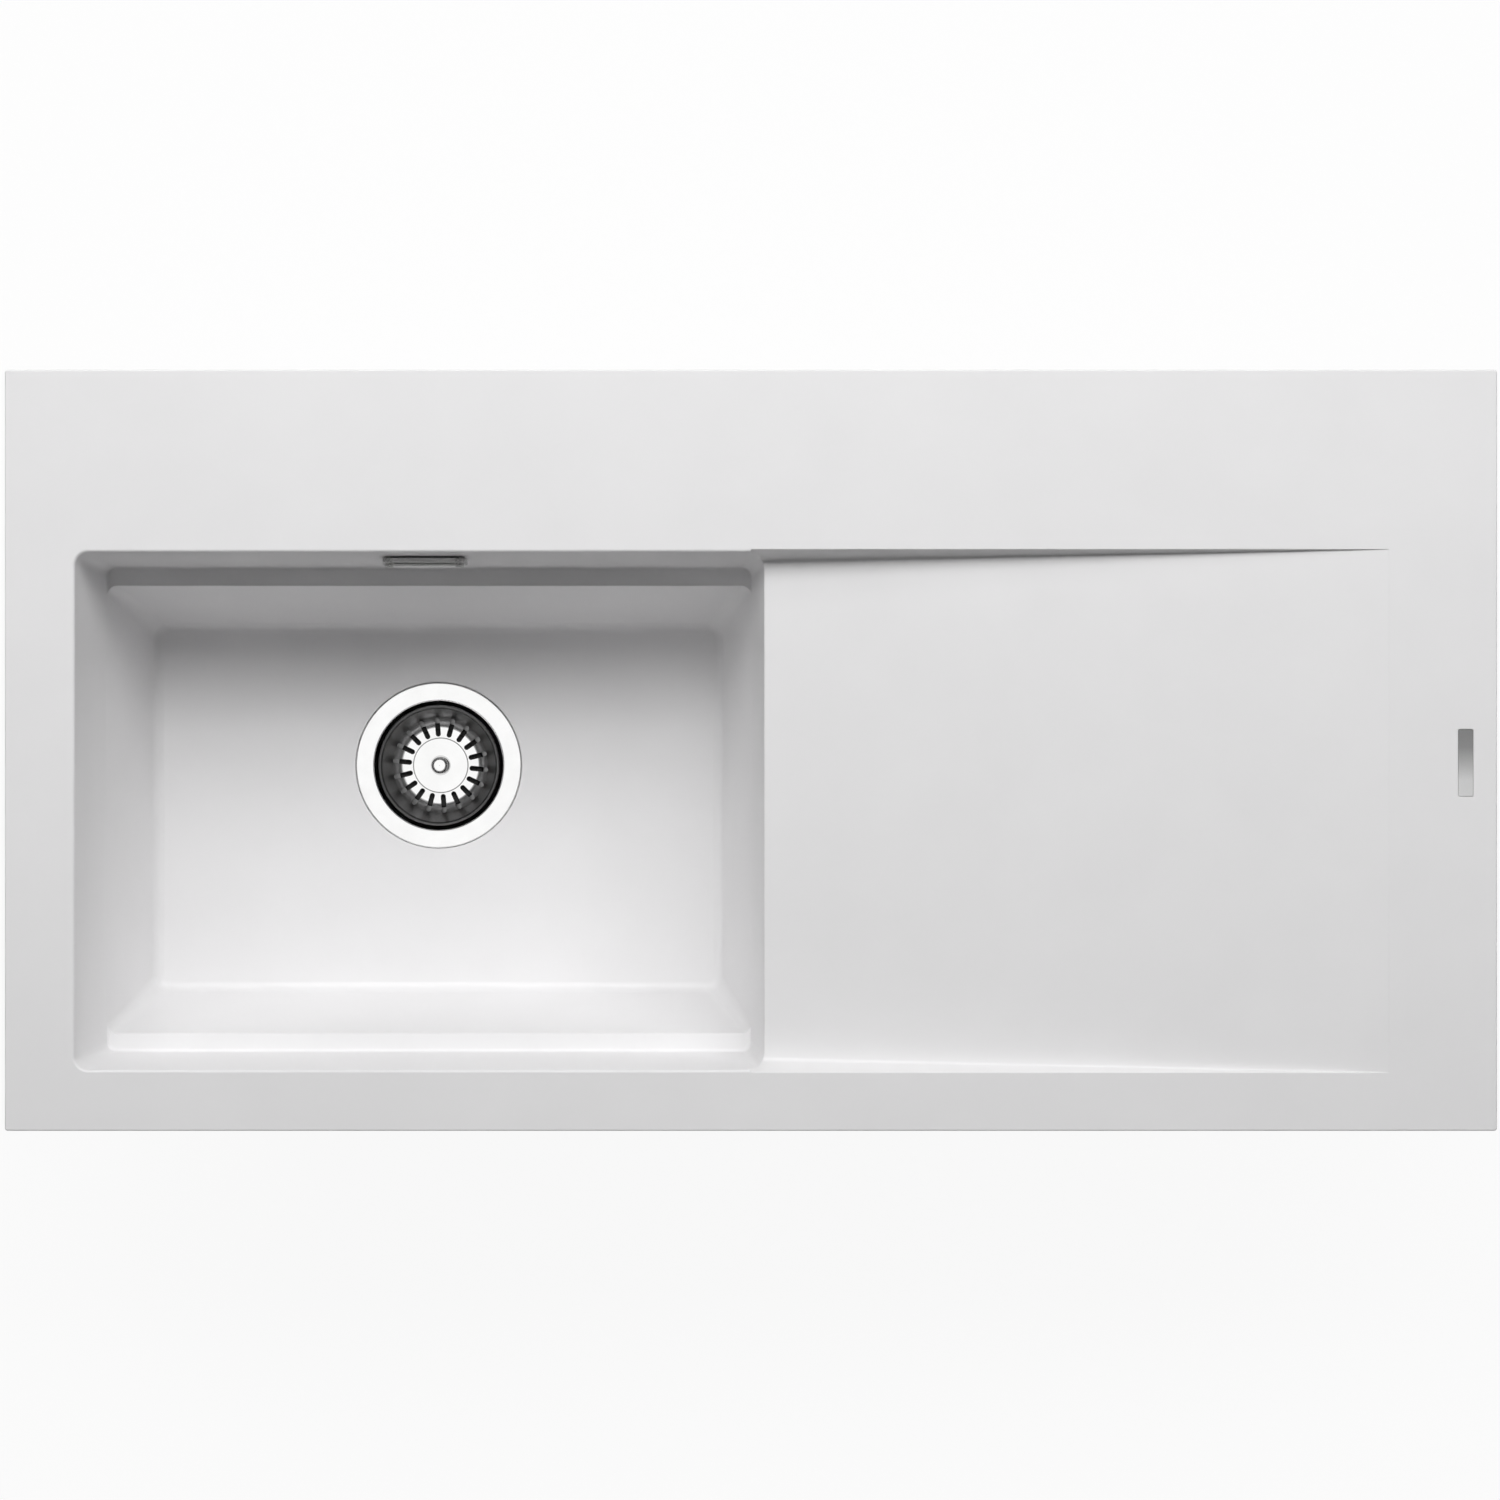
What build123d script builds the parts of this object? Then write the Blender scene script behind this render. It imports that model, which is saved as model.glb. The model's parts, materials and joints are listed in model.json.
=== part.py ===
from build123d import *
from math import atan2, cos, degrees, floor, pi, radians, sin, tan
import os

# Inset kitchen sink: one bowl at the left and a drainboard that falls to it from the right.
# Millimetres. +X runs from the bowl to the drainboard, +Y to the rear ledge, +Z up.
# The origin is the centre of the worktop cut-out, on the worktop's surface.

# ---- Slab and the worktop that it sits in ----
SINK_LENGTH = 1000.0
SINK_WIDTH = 510.0
RIM_THICKNESS = 10.0
SLAB_CORNER = 2.0
SLAB_EDGE_ROUND = 0.8
RIM_OVERHANG = 10.0
WORKTOP_THICKNESS = 40.0
SEAL_THICKNESS = 2.0
SEAL_INSET = 1.5
SEAL_TO_CUTOUT = 0.5

# ---- Bowl ----
BOWL_LENGTH = 465.2
BOWL_WIDTH = 347.0
BOWL_LEFT_MARGIN = 46.8
BOWL_FRONT_MARGIN = 40.8
BOWL_CORNER = 9.0
BOWL_DEPTH = 200.0
BOWL_RIM_ROUND = 2.0
WALL = 8.0
FLOOR_THICKNESS = 9.0
LEDGE_DEPTH = 86.0
LEDGE_WIDTH = 12.5
LEDGE_CORNER = 7.0
LEDGE_FILLET = 2.2
UPPER_TAPER = 7.5
UPPER_TAPER_SIDES = 11.6
LOWER_TAPER = 24.0
LOWER_TAPER_SIDES = 20.6
FLOOR_CORNER = 12.0
FLOOR_FILLET = 8.0
UPPER_TO_LOWER_OVERLAP = 3.0

# ---- Drainboard ----
BOARD_RIGHT_MARGIN = 70.0
BOARD_FALL = 22.0
BOARD_WALL_LEAN = 17.0
BOARD_FILLET = 3.0
BOARD_OPEN_ABOVE = 3.0
BOARD_TIP_CUT = 2.5
BOARD_THICKNESS = 8.0

# ---- Holes and bosses in the body ----
DRAIN_BEHIND_CENTRE = 30.0
DRAIN_HOLE_RADIUS = 48.0
DRAIN_BOSS_RADIUS = 64.0
DRAIN_BOSS_HEIGHT = 5.0
TAP_HOLE_RADIUS = 17.5
TAP_HOLE_DEPTH = 6.0

# ---- Blank plate at the right-hand edge ----
PLATE_LENGTH = 45.0
PLATE_WIDTH = 10.0
PLATE_THICKNESS = 1.0
PLATE_RECESS = 0.6
PLATE_RIGHT_MARGIN = 21.0
PLATE_Y = -8.5
PLATE_CORNER = 1.0
PLATE_GAP = 0.15

# ---- Overflow in the bowl's rear wall ----
OVERFLOW_DEPTH = 31.0
OVERFLOW_SLOT_LENGTH = 38.0
OVERFLOW_SLOT_HEIGHT = 9.0
COVER_TOP_LENGTH = 55.0
COVER_BOTTOM_LENGTH = 58.0
COVER_HEIGHT = 20.0
COVER_THICKNESS = 2.8
COVER_STAND_OFF = 1.3
COVER_FOOT_WIDTH = 3.5
COVER_CORNER = 3.0
COVER_EDGE_ROUND = 0.6
COVER_BAR_LENGTH = 54.0
COVER_BAR_HEIGHT = 12.0
COVER_BAR_THICKNESS = 1.2
COVER_BAR_GAP = 0.8
COVER_BAR_SPAN = 40.0
COVER_BAR_TAPER = 8.0
COVER_SCREW_SPACING = 46.5
COVER_SCREW_RADIUS = 1.5
COVER_SCREW_HEAD_RADIUS = 2.4
COVER_SCREW_BITE = 7.0
SOCKET_WIDTH = 2.0
SOCKET_DEPTH = 1.2
SCREW_CLEARANCE = 0.25
OVERFLOW_GASKET_THICKNESS = 2.0
ELBOW_FLANGE_LENGTH = 60.0
ELBOW_FLANGE_HEIGHT = 22.0
ELBOW_FLANGE_THICKNESS = 9.0
ELBOW_LENGTH = 42.0
ELBOW_HEIGHT = 18.0
ELBOW_DEPTH = 30.0
ELBOW_WALL = 2.2
ELBOW_SPIGOT_DROP = 30.0

# ---- Ribbed overflow hose and its union nuts ----
HOSE_BORE_RADIUS = 8.0
HOSE_CUFF_RADIUS = 10.0
HOSE_CREST_RADIUS = 12.2
HOSE_RIB_PITCH = 4.2
HOSE_RIB_FOOT_SHARE = 0.1
HOSE_RIB_CREST_SHARE = 0.3
HOSE_CUFF_LENGTH = 26.0
HOSE_COLLAR_RADIUS = 12.6
HOSE_COLLAR_THICKNESS = 2.5
HOSE_BEND_RADIUS = 60.0
HOSE_WASHER_THICKNESS = 1.5
SPIGOT_RADIUS = 14.0
NUT_WALL = 3.2
NUT_GRIP = 13.0
NUT_LIP = 3.0
NUT_RIB_COUNT = 16
NUT_RIB_RADIUS = 1.1
NUT_CLEARANCE = 0.2

# ---- Waste: steel flange, plastic body and the screw that draws them together ----
FLANGE_RADIUS = 58.3
FLANGE_OPENING_RADIUS = 45.5
FLANGE_PROUD = 0.6
SHEET = 1.2
FLANGE_LIP_ROUND = 2.0
FLANGE_SEAT_DEPTH = 2.4
FLANGE_SEAT_GAP = 0.5
CUP_DEPTH = 38.0
CUP_NECK_DEPTH = 12.0
CUP_BOTTOM_RADIUS = 37.0
CUP_FILLET = 4.0
CUP_HOLE_COUNT = 8
CUP_HOLE_RADIUS = 5.5
CUP_HOLE_CIRCLE = 18.5
GASKET_THICKNESS = 2.0
BODY_FLANGE_RADIUS = 63.0
BODY_FLANGE_THICKNESS = 5.0
BODY_RADIUS = 51.5
BODY_WALL = 3.0
BODY_DEPTH = 68.0
BODY_CONE_HEIGHT = 12.0
BODY_HUB_RADIUS = 9.0
BODY_HUB_HEIGHT = 16.0
BODY_HUB_BELOW_CUP = 4.0
BODY_RIB_COUNT = 3
BODY_RIB_THICKNESS = 3.5
OUTLET_RADIUS = 23.9
OUTLET_WALL = 3.0
OUTLET_LENGTH = 36.0
INLET_LEVEL = 50.0
INLET_REACH = 76.0
WASTE_SCREW_RADIUS = 3.0
WASTE_SCREW_HEAD_RADIUS = 6.5
WASTE_SCREW_HEAD_HEIGHT = 5.0
INSERT_RADIUS = 5.5
INSERT_LENGTH = 9.0
PRESS_GAP = 0.05

# ---- Lift-out strainer basket ----
BASKET_SHEET = 0.8
BASKET_RIM_RADIUS = 41.6
BASKET_ROLL = 1.4
BASKET_RIM_DROP = 2.4
BASKET_DEPTH = 26.0
BASKET_BOTTOM_RADIUS = 32.5
BASKET_FILLET = 9.0
BASKET_SLOT_COUNT = 18
BASKET_SLOT_WIDTH = 3.4
BASKET_SLOT_START = 20.6
BASKET_SLOT_END = 34.0
BASKET_SLOT_RISE = 8.5
BASKET_SLOT_TURN = -5.5
BASKET_DISC_RADIUS = 19.6
BASKET_DISC_THICKNESS = 0.5
STEM_RADIUS = 2.5
STEM_FIT = 0.1
STEM_GUIDE_DEPTH = 3.5
STEM_COLLAR_RADIUS = 6.0
SEAL_DISC_RADIUS = 30.0
SEAL_DISC_THICKNESS = 3.0
SEAL_LIP_WIDTH = 3.0
KNOB_RADIUS = 5.8
KNOB_NECK_RADIUS = 3.8
KNOB_HEIGHT = 15.0
KNOB_CAP = 5.0
KNOB_CAP_EDGE = 1.7
KNOB_FLARE = 2.0
REST_GAP = 0.3

# ---- Clamps that hold the sink down to the worktop ----
CLAMP_INSET = 12.0
CLAMP_FROM_END = 130.0
CLAMP_BOSS_RADIUS = 7.0
CLAMP_BOSS_HEIGHT = 9.0
CLAMP_SCREW_RADIUS = 2.5
CLAMP_SCREW_HEAD_RADIUS = 5.0
CLAMP_SCREW_HEAD_HEIGHT = 3.5
CLAMP_SCREW_SLOT = 1.2
CLAMP_INSERT_RADIUS = 4.0
CLAMP_INSERT_LENGTH = 8.0
CLAW_WIDTH = 14.0
CLAW_THICKNESS = 2.0
CLAW_REACH = 24.0
CLAW_TOOTH_HEIGHT = 10.0
CLAW_PLAY = 0.25

# ---- Levels and places that follow from them ----
RIM_TOP = SEAL_THICKNESS + RIM_THICKNESS
LEDGE_Z = RIM_TOP - LEDGE_DEPTH
FLOOR_Z = RIM_TOP - BOWL_DEPTH
FLOOR_UNDERSIDE = FLOOR_Z - FLOOR_THICKNESS
BOWL_X = -SINK_LENGTH / 2 + BOWL_LEFT_MARGIN + BOWL_LENGTH / 2
BOWL_Y = -SINK_WIDTH / 2 + BOWL_FRONT_MARGIN + BOWL_WIDTH / 2
BOWL_RIGHT_X = BOWL_X + BOWL_LENGTH / 2
UPPER_SLOPE = UPPER_TAPER / LEDGE_DEPTH
UPPER_SLOPE_SIDES = UPPER_TAPER_SIDES / LEDGE_DEPTH
WALL_LEAN = degrees(atan2(UPPER_TAPER, LEDGE_DEPTH))
WALL_ACROSS = WALL * cos(radians(WALL_LEAN))
RIM_ROUND_REACH = BOWL_RIM_ROUND * tan(radians((90 - WALL_LEAN) / 2))
BOARD_TIP_X = SINK_LENGTH / 2 - BOARD_RIGHT_MARGIN
BOARD_REAR_Y = BOWL_Y + BOWL_WIDTH / 2 + RIM_ROUND_REACH
BOARD_FRONT_Y = BOWL_Y - BOWL_WIDTH / 2 - RIM_ROUND_REACH
DRAIN_X = BOWL_X
DRAIN_Y = BOWL_Y + DRAIN_BEHIND_CENTRE
FLANGE_TOP = FLOOR_Z + FLANGE_PROUD
CUP_FLOOR = FLANGE_TOP - CUP_DEPTH
DRAIN_BOSS_Z = FLOOR_UNDERSIDE - DRAIN_BOSS_HEIGHT
BODY_TOP = DRAIN_BOSS_Z - GASKET_THICKNESS
BODY_BOTTOM = FLOOR_Z - BODY_DEPTH
OUTLET_END = BODY_BOTTOM - BODY_CONE_HEIGHT - OUTLET_LENGTH
HUB_TOP = CUP_FLOOR - SHEET - BODY_HUB_BELOW_CUP
OVERFLOW_Z = RIM_TOP - OVERFLOW_DEPTH
OVERFLOW_Y = BOWL_Y + BOWL_WIDTH / 2 - UPPER_SLOPE * OVERFLOW_DEPTH
CUTOUT_LENGTH = SINK_LENGTH - 2 * RIM_OVERHANG
CUTOUT_WIDTH = SINK_WIDTH - 2 * RIM_OVERHANG
CLAMP_HALF_LENGTH = CUTOUT_LENGTH / 2 - CLAMP_INSET
CLAMP_HALF_WIDTH = CUTOUT_WIDTH / 2 - CLAMP_INSET

drain_axis = Axis((DRAIN_X, DRAIN_Y, 0), (0, 0, 1))
drain_section = Plane(origin=(DRAIN_X, DRAIN_Y, 0), x_dir=(1, 0, 0), z_dir=(0, -1, 0))
overflow_plane = Plane(
    origin=(BOWL_X, OVERFLOW_Y, OVERFLOW_Z),
    x_dir=(1, 0, 0),
    z_dir=(0, -cos(radians(WALL_LEAN)), sin(radians(WALL_LEAN))),
)

os.makedirs("parts", exist_ok=True)


def save(part, name):
    """Label a finished piece and write it under its own name."""
    part.label = name
    export_step(part, f"parts/{name}.step")


def drain_plane(z):
    """A level plane at height z, centred on the drain."""
    return Plane((DRAIN_X, DRAIN_Y, z))


def bowl_plane(z):
    """A level plane at height z, centred on the bowl."""
    return Plane((BOWL_X, BOWL_Y, z))


# ---- Hollows of the body ----
upper_bottom_length = BOWL_LENGTH - 2 * UPPER_TAPER_SIDES
upper_bottom_width = BOWL_WIDTH - 2 * UPPER_TAPER
lower_top_width = upper_bottom_width - 2 * LEDGE_WIDTH
floor_length = upper_bottom_length - 2 * LOWER_TAPER_SIDES
floor_width = lower_top_width - 2 * LOWER_TAPER
lower_height = BOWL_DEPTH - LEDGE_DEPTH
lower_slope = LOWER_TAPER / lower_height
lower_slope_sides = LOWER_TAPER_SIDES / lower_height

with BuildPart() as upper_hollow:
    with BuildSketch(bowl_plane(RIM_TOP)):
        RectangleRounded(BOWL_LENGTH, BOWL_WIDTH, BOWL_CORNER)
    with BuildSketch(bowl_plane(LEDGE_Z)):
        RectangleRounded(upper_bottom_length, upper_bottom_width, LEDGE_CORNER)
    loft(ruled=True)
    fillet(upper_hollow.faces().sort_by(Axis.Z)[0].edges(), LEDGE_FILLET)

with BuildPart() as lower_hollow:
    with BuildSketch(bowl_plane(LEDGE_Z + UPPER_TO_LOWER_OVERLAP)):
        RectangleRounded(
            upper_bottom_length + 2 * UPPER_SLOPE_SIDES * UPPER_TO_LOWER_OVERLAP,
            lower_top_width + 2 * lower_slope * UPPER_TO_LOWER_OVERLAP,
            LEDGE_CORNER,
        )
    with BuildSketch(bowl_plane(FLOOR_Z)):
        RectangleRounded(floor_length, floor_width, FLOOR_CORNER)
    loft(ruled=True)
    fillet(lower_hollow.faces().sort_by(Axis.Z)[0].edges(), FLOOR_FILLET)


def board_section(x):
    """The drainboard hollow's cross-section at x, which shrinks evenly towards its tip."""
    depth_share = (BOARD_TIP_X - x) / (BOARD_TIP_X - BOWL_RIGHT_X)
    depth = BOARD_FALL * depth_share
    lean = tan(radians(BOARD_WALL_LEAN))
    plane = Plane(origin=(x, 0, RIM_TOP), x_dir=(0, 1, 0), z_dir=(1, 0, 0))
    with BuildSketch(plane) as section:
        with BuildLine():
            Polyline(
                (BOARD_FRONT_Y - BOARD_OPEN_ABOVE * lean, BOARD_OPEN_ABOVE),
                (BOARD_FRONT_Y + depth * lean, -depth),
                (BOARD_REAR_Y - depth * lean, -depth),
                (BOARD_REAR_Y + BOARD_OPEN_ABOVE * lean, BOARD_OPEN_ABOVE),
                close=True,
            )
        make_face()
        fillet(section.vertices().group_by(Axis.Y)[0], BOARD_FILLET * depth_share)
    return section.sketch


board_start_x = BOWL_RIGHT_X - UPPER_SLOPE_SIDES * BOARD_FALL - BOWL_CORNER
with BuildPart() as board_hollow:
    add(board_section(board_start_x))
    add(board_section(BOARD_TIP_X - BOARD_TIP_CUT))
    loft(ruled=True)

# ---- Clamp places: along the rear, along the front, and one at each end ----
clamp_end_x = CUTOUT_LENGTH / 2 - CLAMP_FROM_END
clamp_rows = (-clamp_end_x, 0.0, clamp_end_x)
clamp_sites = []
for clamp_x in clamp_rows:
    clamp_sites.append(((clamp_x, CLAMP_HALF_WIDTH), (0, 1)))
for clamp_x in clamp_rows:
    clamp_sites.append(((clamp_x, -CLAMP_HALF_WIDTH), (0, -1)))
clamp_sites.append(((-CLAMP_HALF_LENGTH, 0.0), (-1, 0)))
clamp_sites.append(((CLAMP_HALF_LENGTH, 0.0), (1, 0)))
clamp_centres = [site[0] for site in clamp_sites]
CLAMP_BOSS_Z = SEAL_THICKNESS - CLAMP_BOSS_HEIGHT

# ---- Sink body: slab, bowl, drainboard and bosses in one moulding ----
board_underside = RIM_TOP - BOARD_FALL - BOARD_THICKNESS
board_slope = BOARD_FALL / (BOARD_TIP_X - BOWL_RIGHT_X)
board_runout_x = BOWL_RIGHT_X + (SEAL_THICKNESS - board_underside) / board_slope
shell_extra = 2 * WALL
shell_top_z = RIM_TOP - RIM_THICKNESS / 2
shell_top_loss = RIM_TOP - shell_top_z

with BuildPart() as sink_body:
    with BuildSketch(Plane.XY.offset(SEAL_THICKNESS)):
        RectangleRounded(SINK_LENGTH, SINK_WIDTH, SLAB_CORNER)
    extrude(amount=RIM_THICKNESS)
    fillet(sink_body.faces().sort_by(Axis.Z)[-1].edges(), SLAB_EDGE_ROUND)
    # Shell under the drainboard, level with the bowl's shell at its left end.
    with BuildSketch(Plane.XZ.offset(-BOWL_Y)):
        with BuildLine():
            Polyline(
                (BOWL_RIGHT_X - WALL, board_underside),
                (BOWL_RIGHT_X, board_underside),
                (board_runout_x, SEAL_THICKNESS),
                (board_runout_x, shell_top_z),
                (BOWL_RIGHT_X - WALL, shell_top_z),
                close=True,
            )
        make_face()
    extrude(amount=BOWL_WIDTH / 2 + WALL, both=True)
    # Upper and lower shells of the bowl, parallel to its walls.
    with BuildSketch(bowl_plane(shell_top_z)):
        RectangleRounded(
            BOWL_LENGTH + shell_extra - 2 * UPPER_SLOPE_SIDES * shell_top_loss,
            BOWL_WIDTH + shell_extra - 2 * UPPER_SLOPE * shell_top_loss,
            BOWL_CORNER + WALL,
        )
    with BuildSketch(bowl_plane(LEDGE_Z - WALL)):
        RectangleRounded(
            upper_bottom_length + shell_extra - 2 * UPPER_SLOPE_SIDES * WALL,
            upper_bottom_width + shell_extra - 2 * UPPER_SLOPE * WALL,
            LEDGE_CORNER + WALL,
        )
    loft(ruled=True)
    with BuildSketch(bowl_plane(LEDGE_Z - WALL)):
        RectangleRounded(
            upper_bottom_length + shell_extra - 2 * lower_slope_sides * WALL,
            lower_top_width + shell_extra - 2 * lower_slope * WALL,
            LEDGE_CORNER + WALL,
        )
    with BuildSketch(bowl_plane(FLOOR_UNDERSIDE)):
        RectangleRounded(
            floor_length + shell_extra - 2 * lower_slope_sides * FLOOR_THICKNESS,
            floor_width + shell_extra - 2 * lower_slope * FLOOR_THICKNESS,
            FLOOR_CORNER + WALL,
        )
    loft(ruled=True)
    fillet(sink_body.faces().sort_by(Axis.Z)[0].edges(), FLOOR_FILLET)
    # Bosses for the waste and the clamps.
    with BuildSketch(drain_plane(DRAIN_BOSS_Z)):
        Circle(DRAIN_BOSS_RADIUS)
    extrude(amount=DRAIN_BOSS_HEIGHT + FLOOR_THICKNESS / 2)
    with BuildSketch(Plane.XY.offset(CLAMP_BOSS_Z)):
        with Locations(*clamp_centres):
            Circle(CLAMP_BOSS_RADIUS)
    extrude(amount=CLAMP_BOSS_HEIGHT + RIM_THICKNESS / 3)
    # Hollows, with the bowl's rim rounded before the drainboard runs into it.
    add(upper_hollow.part, mode=Mode.SUBTRACT)
    bowl_rim = (
        sink_body.faces()
        .sort_by(Axis.Z)[-1]
        .inner_wires()
        .edges()
    )
    fillet(bowl_rim, BOWL_RIM_ROUND)
    add(lower_hollow.part, mode=Mode.SUBTRACT)
    add(board_hollow.part, mode=Mode.SUBTRACT)
    # Waste hole with the flange's seat, tap hole from below, plate recess.
    with BuildSketch(drain_plane(FLOOR_Z)):
        Circle(FLANGE_RADIUS + FLANGE_SEAT_GAP)
    extrude(amount=-FLANGE_SEAT_DEPTH, mode=Mode.SUBTRACT)
    with BuildSketch(drain_plane(FLOOR_Z)):
        Circle(DRAIN_HOLE_RADIUS)
    extrude(amount=DRAIN_BOSS_Z - FLOOR_Z, mode=Mode.SUBTRACT)
    tap_hole_y = (BOWL_Y + BOWL_WIDTH / 2 + SINK_WIDTH / 2) / 2
    with BuildSketch(Plane((0, tap_hole_y, SEAL_THICKNESS))):
        Circle(TAP_HOLE_RADIUS)
    extrude(amount=TAP_HOLE_DEPTH, mode=Mode.SUBTRACT)
    plate_x = SINK_LENGTH / 2 - PLATE_RIGHT_MARGIN
    with BuildSketch(Plane((plate_x, PLATE_Y, RIM_TOP))):
        RectangleRounded(
            PLATE_WIDTH + 2 * PLATE_GAP,
            PLATE_LENGTH + 2 * PLATE_GAP,
            PLATE_CORNER + PLATE_GAP,
        )
    extrude(amount=-PLATE_RECESS, mode=Mode.SUBTRACT)
    # Overflow slot and its two screw holes, square to the rear wall.
    with BuildSketch(overflow_plane.offset(WALL / 2)):
        SlotOverall(OVERFLOW_SLOT_LENGTH, OVERFLOW_SLOT_HEIGHT)
        with GridLocations(COVER_SCREW_SPACING, 0, 2, 1):
            Circle(COVER_SCREW_RADIUS + SCREW_CLEARANCE)
    extrude(amount=-2 * WALL, mode=Mode.SUBTRACT)
    # Blind holes for the clamp inserts.
    with BuildSketch(Plane.XY.offset(CLAMP_BOSS_Z)):
        with Locations(*clamp_centres):
            Circle(CLAMP_INSERT_RADIUS + PRESS_GAP)
    extrude(amount=CLAMP_INSERT_LENGTH, mode=Mode.SUBTRACT)
save(sink_body.part, "sink_body")

# ---- Seal under the rim ----
seal_outer_length = SINK_LENGTH - 2 * SEAL_INSET
seal_outer_width = SINK_WIDTH - 2 * SEAL_INSET
with BuildPart() as rim_seal:
    with BuildSketch(Plane.XY):
        RectangleRounded(seal_outer_length, seal_outer_width, SLAB_CORNER)
        RectangleRounded(
            CUTOUT_LENGTH + 2 * SEAL_TO_CUTOUT,
            CUTOUT_WIDTH + 2 * SEAL_TO_CUTOUT,
            SLAB_CORNER,
            mode=Mode.SUBTRACT,
        )
    extrude(amount=SEAL_THICKNESS)
save(rim_seal.part, "rim_seal")

# ---- Blank plate in its recess ----
with BuildPart() as badge_plate:
    with BuildSketch(Plane((plate_x, PLATE_Y, RIM_TOP - PLATE_RECESS))):
        RectangleRounded(PLATE_WIDTH, PLATE_LENGTH, PLATE_CORNER)
    extrude(amount=PLATE_THICKNESS)
    chamfer(badge_plate.faces().sort_by(Axis.Z)[-1].edges(), PLATE_THICKNESS / 5)
save(badge_plate.part, "badge_plate")

# ---- Overflow cover: a plate that stands off the wall, with a bar across its front ----
cover_plate_face = COVER_STAND_OFF + COVER_THICKNESS
cover_bar_back = cover_plate_face + COVER_BAR_GAP
cover_face = cover_bar_back + COVER_BAR_THICKNESS
cover_foot_x = COVER_TOP_LENGTH / 2 - COVER_FOOT_WIDTH / 2 - COVER_EDGE_ROUND
with BuildPart() as overflow_cover:
    with BuildSketch(overflow_plane.offset(COVER_STAND_OFF)) as cover_outline:
        with BuildLine():
            Polyline(
                (-COVER_TOP_LENGTH / 2, COVER_HEIGHT / 2),
                (COVER_TOP_LENGTH / 2, COVER_HEIGHT / 2),
                (COVER_BOTTOM_LENGTH / 2, -COVER_HEIGHT / 2),
                (-COVER_BOTTOM_LENGTH / 2, -COVER_HEIGHT / 2),
                close=True,
            )
        make_face()
        fillet(cover_outline.vertices(), COVER_CORNER)
    extrude(amount=COVER_THICKNESS)
    fillet(overflow_cover.faces().sort_by(Axis.Y)[0].edges(), COVER_EDGE_ROUND)
    # The bar is solid at its two ends and open behind its middle.
    with BuildSketch(overflow_plane.offset(cover_plate_face)):
        RectangleRounded(COVER_BAR_LENGTH, COVER_BAR_HEIGHT, COVER_CORNER)
    extrude(amount=COVER_BAR_GAP + COVER_BAR_THICKNESS, taper=COVER_BAR_TAPER)
    with BuildSketch(overflow_plane.offset(cover_plate_face)):
        Rectangle(COVER_BAR_SPAN, COVER_HEIGHT)
    extrude(amount=COVER_BAR_GAP, mode=Mode.SUBTRACT)
    # Feet at the two ends and along the bottom; the top stays open for the water.
    with BuildSketch(overflow_plane):
        with GridLocations(2 * cover_foot_x, 0, 2, 1):
            Rectangle(COVER_FOOT_WIDTH, COVER_HEIGHT / 2)
        with Locations((0, -COVER_HEIGHT / 2 + COVER_FOOT_WIDTH)):
            Rectangle(COVER_SCREW_SPACING, COVER_FOOT_WIDTH)
    extrude(amount=COVER_STAND_OFF)
    with BuildSketch(overflow_plane):
        with GridLocations(COVER_SCREW_SPACING, 0, 2, 1):
            Circle(COVER_SCREW_RADIUS + SCREW_CLEARANCE)
    extrude(amount=cover_face, mode=Mode.SUBTRACT)
    cover_sink_depth = COVER_SCREW_HEAD_RADIUS - COVER_SCREW_RADIUS
    with BuildSketch(overflow_plane.offset(cover_face)):
        with GridLocations(COVER_SCREW_SPACING, 0, 2, 1):
            Circle(COVER_SCREW_HEAD_RADIUS + SCREW_CLEARANCE)
    extrude(amount=-cover_sink_depth, taper=45, mode=Mode.SUBTRACT)
save(overflow_cover.part, "overflow_cover")

# ---- Gasket and elbow behind the rear wall ----
gasket_back = -WALL_ACROSS - OVERFLOW_GASKET_THICKNESS
elbow_flange_back = gasket_back - ELBOW_FLANGE_THICKNESS
elbow_back = elbow_flange_back - ELBOW_DEPTH
with BuildPart() as overflow_gasket:
    with BuildSketch(overflow_plane.offset(gasket_back)):
        RectangleRounded(ELBOW_FLANGE_LENGTH, ELBOW_FLANGE_HEIGHT, COVER_CORNER)
        SlotOverall(OVERFLOW_SLOT_LENGTH, OVERFLOW_SLOT_HEIGHT, mode=Mode.SUBTRACT)
        with GridLocations(COVER_SCREW_SPACING, 0, 2, 1):
            Circle(COVER_SCREW_RADIUS + SCREW_CLEARANCE, mode=Mode.SUBTRACT)
    extrude(amount=OVERFLOW_GASKET_THICKNESS)
save(overflow_gasket.part, "overflow_gasket")

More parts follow.
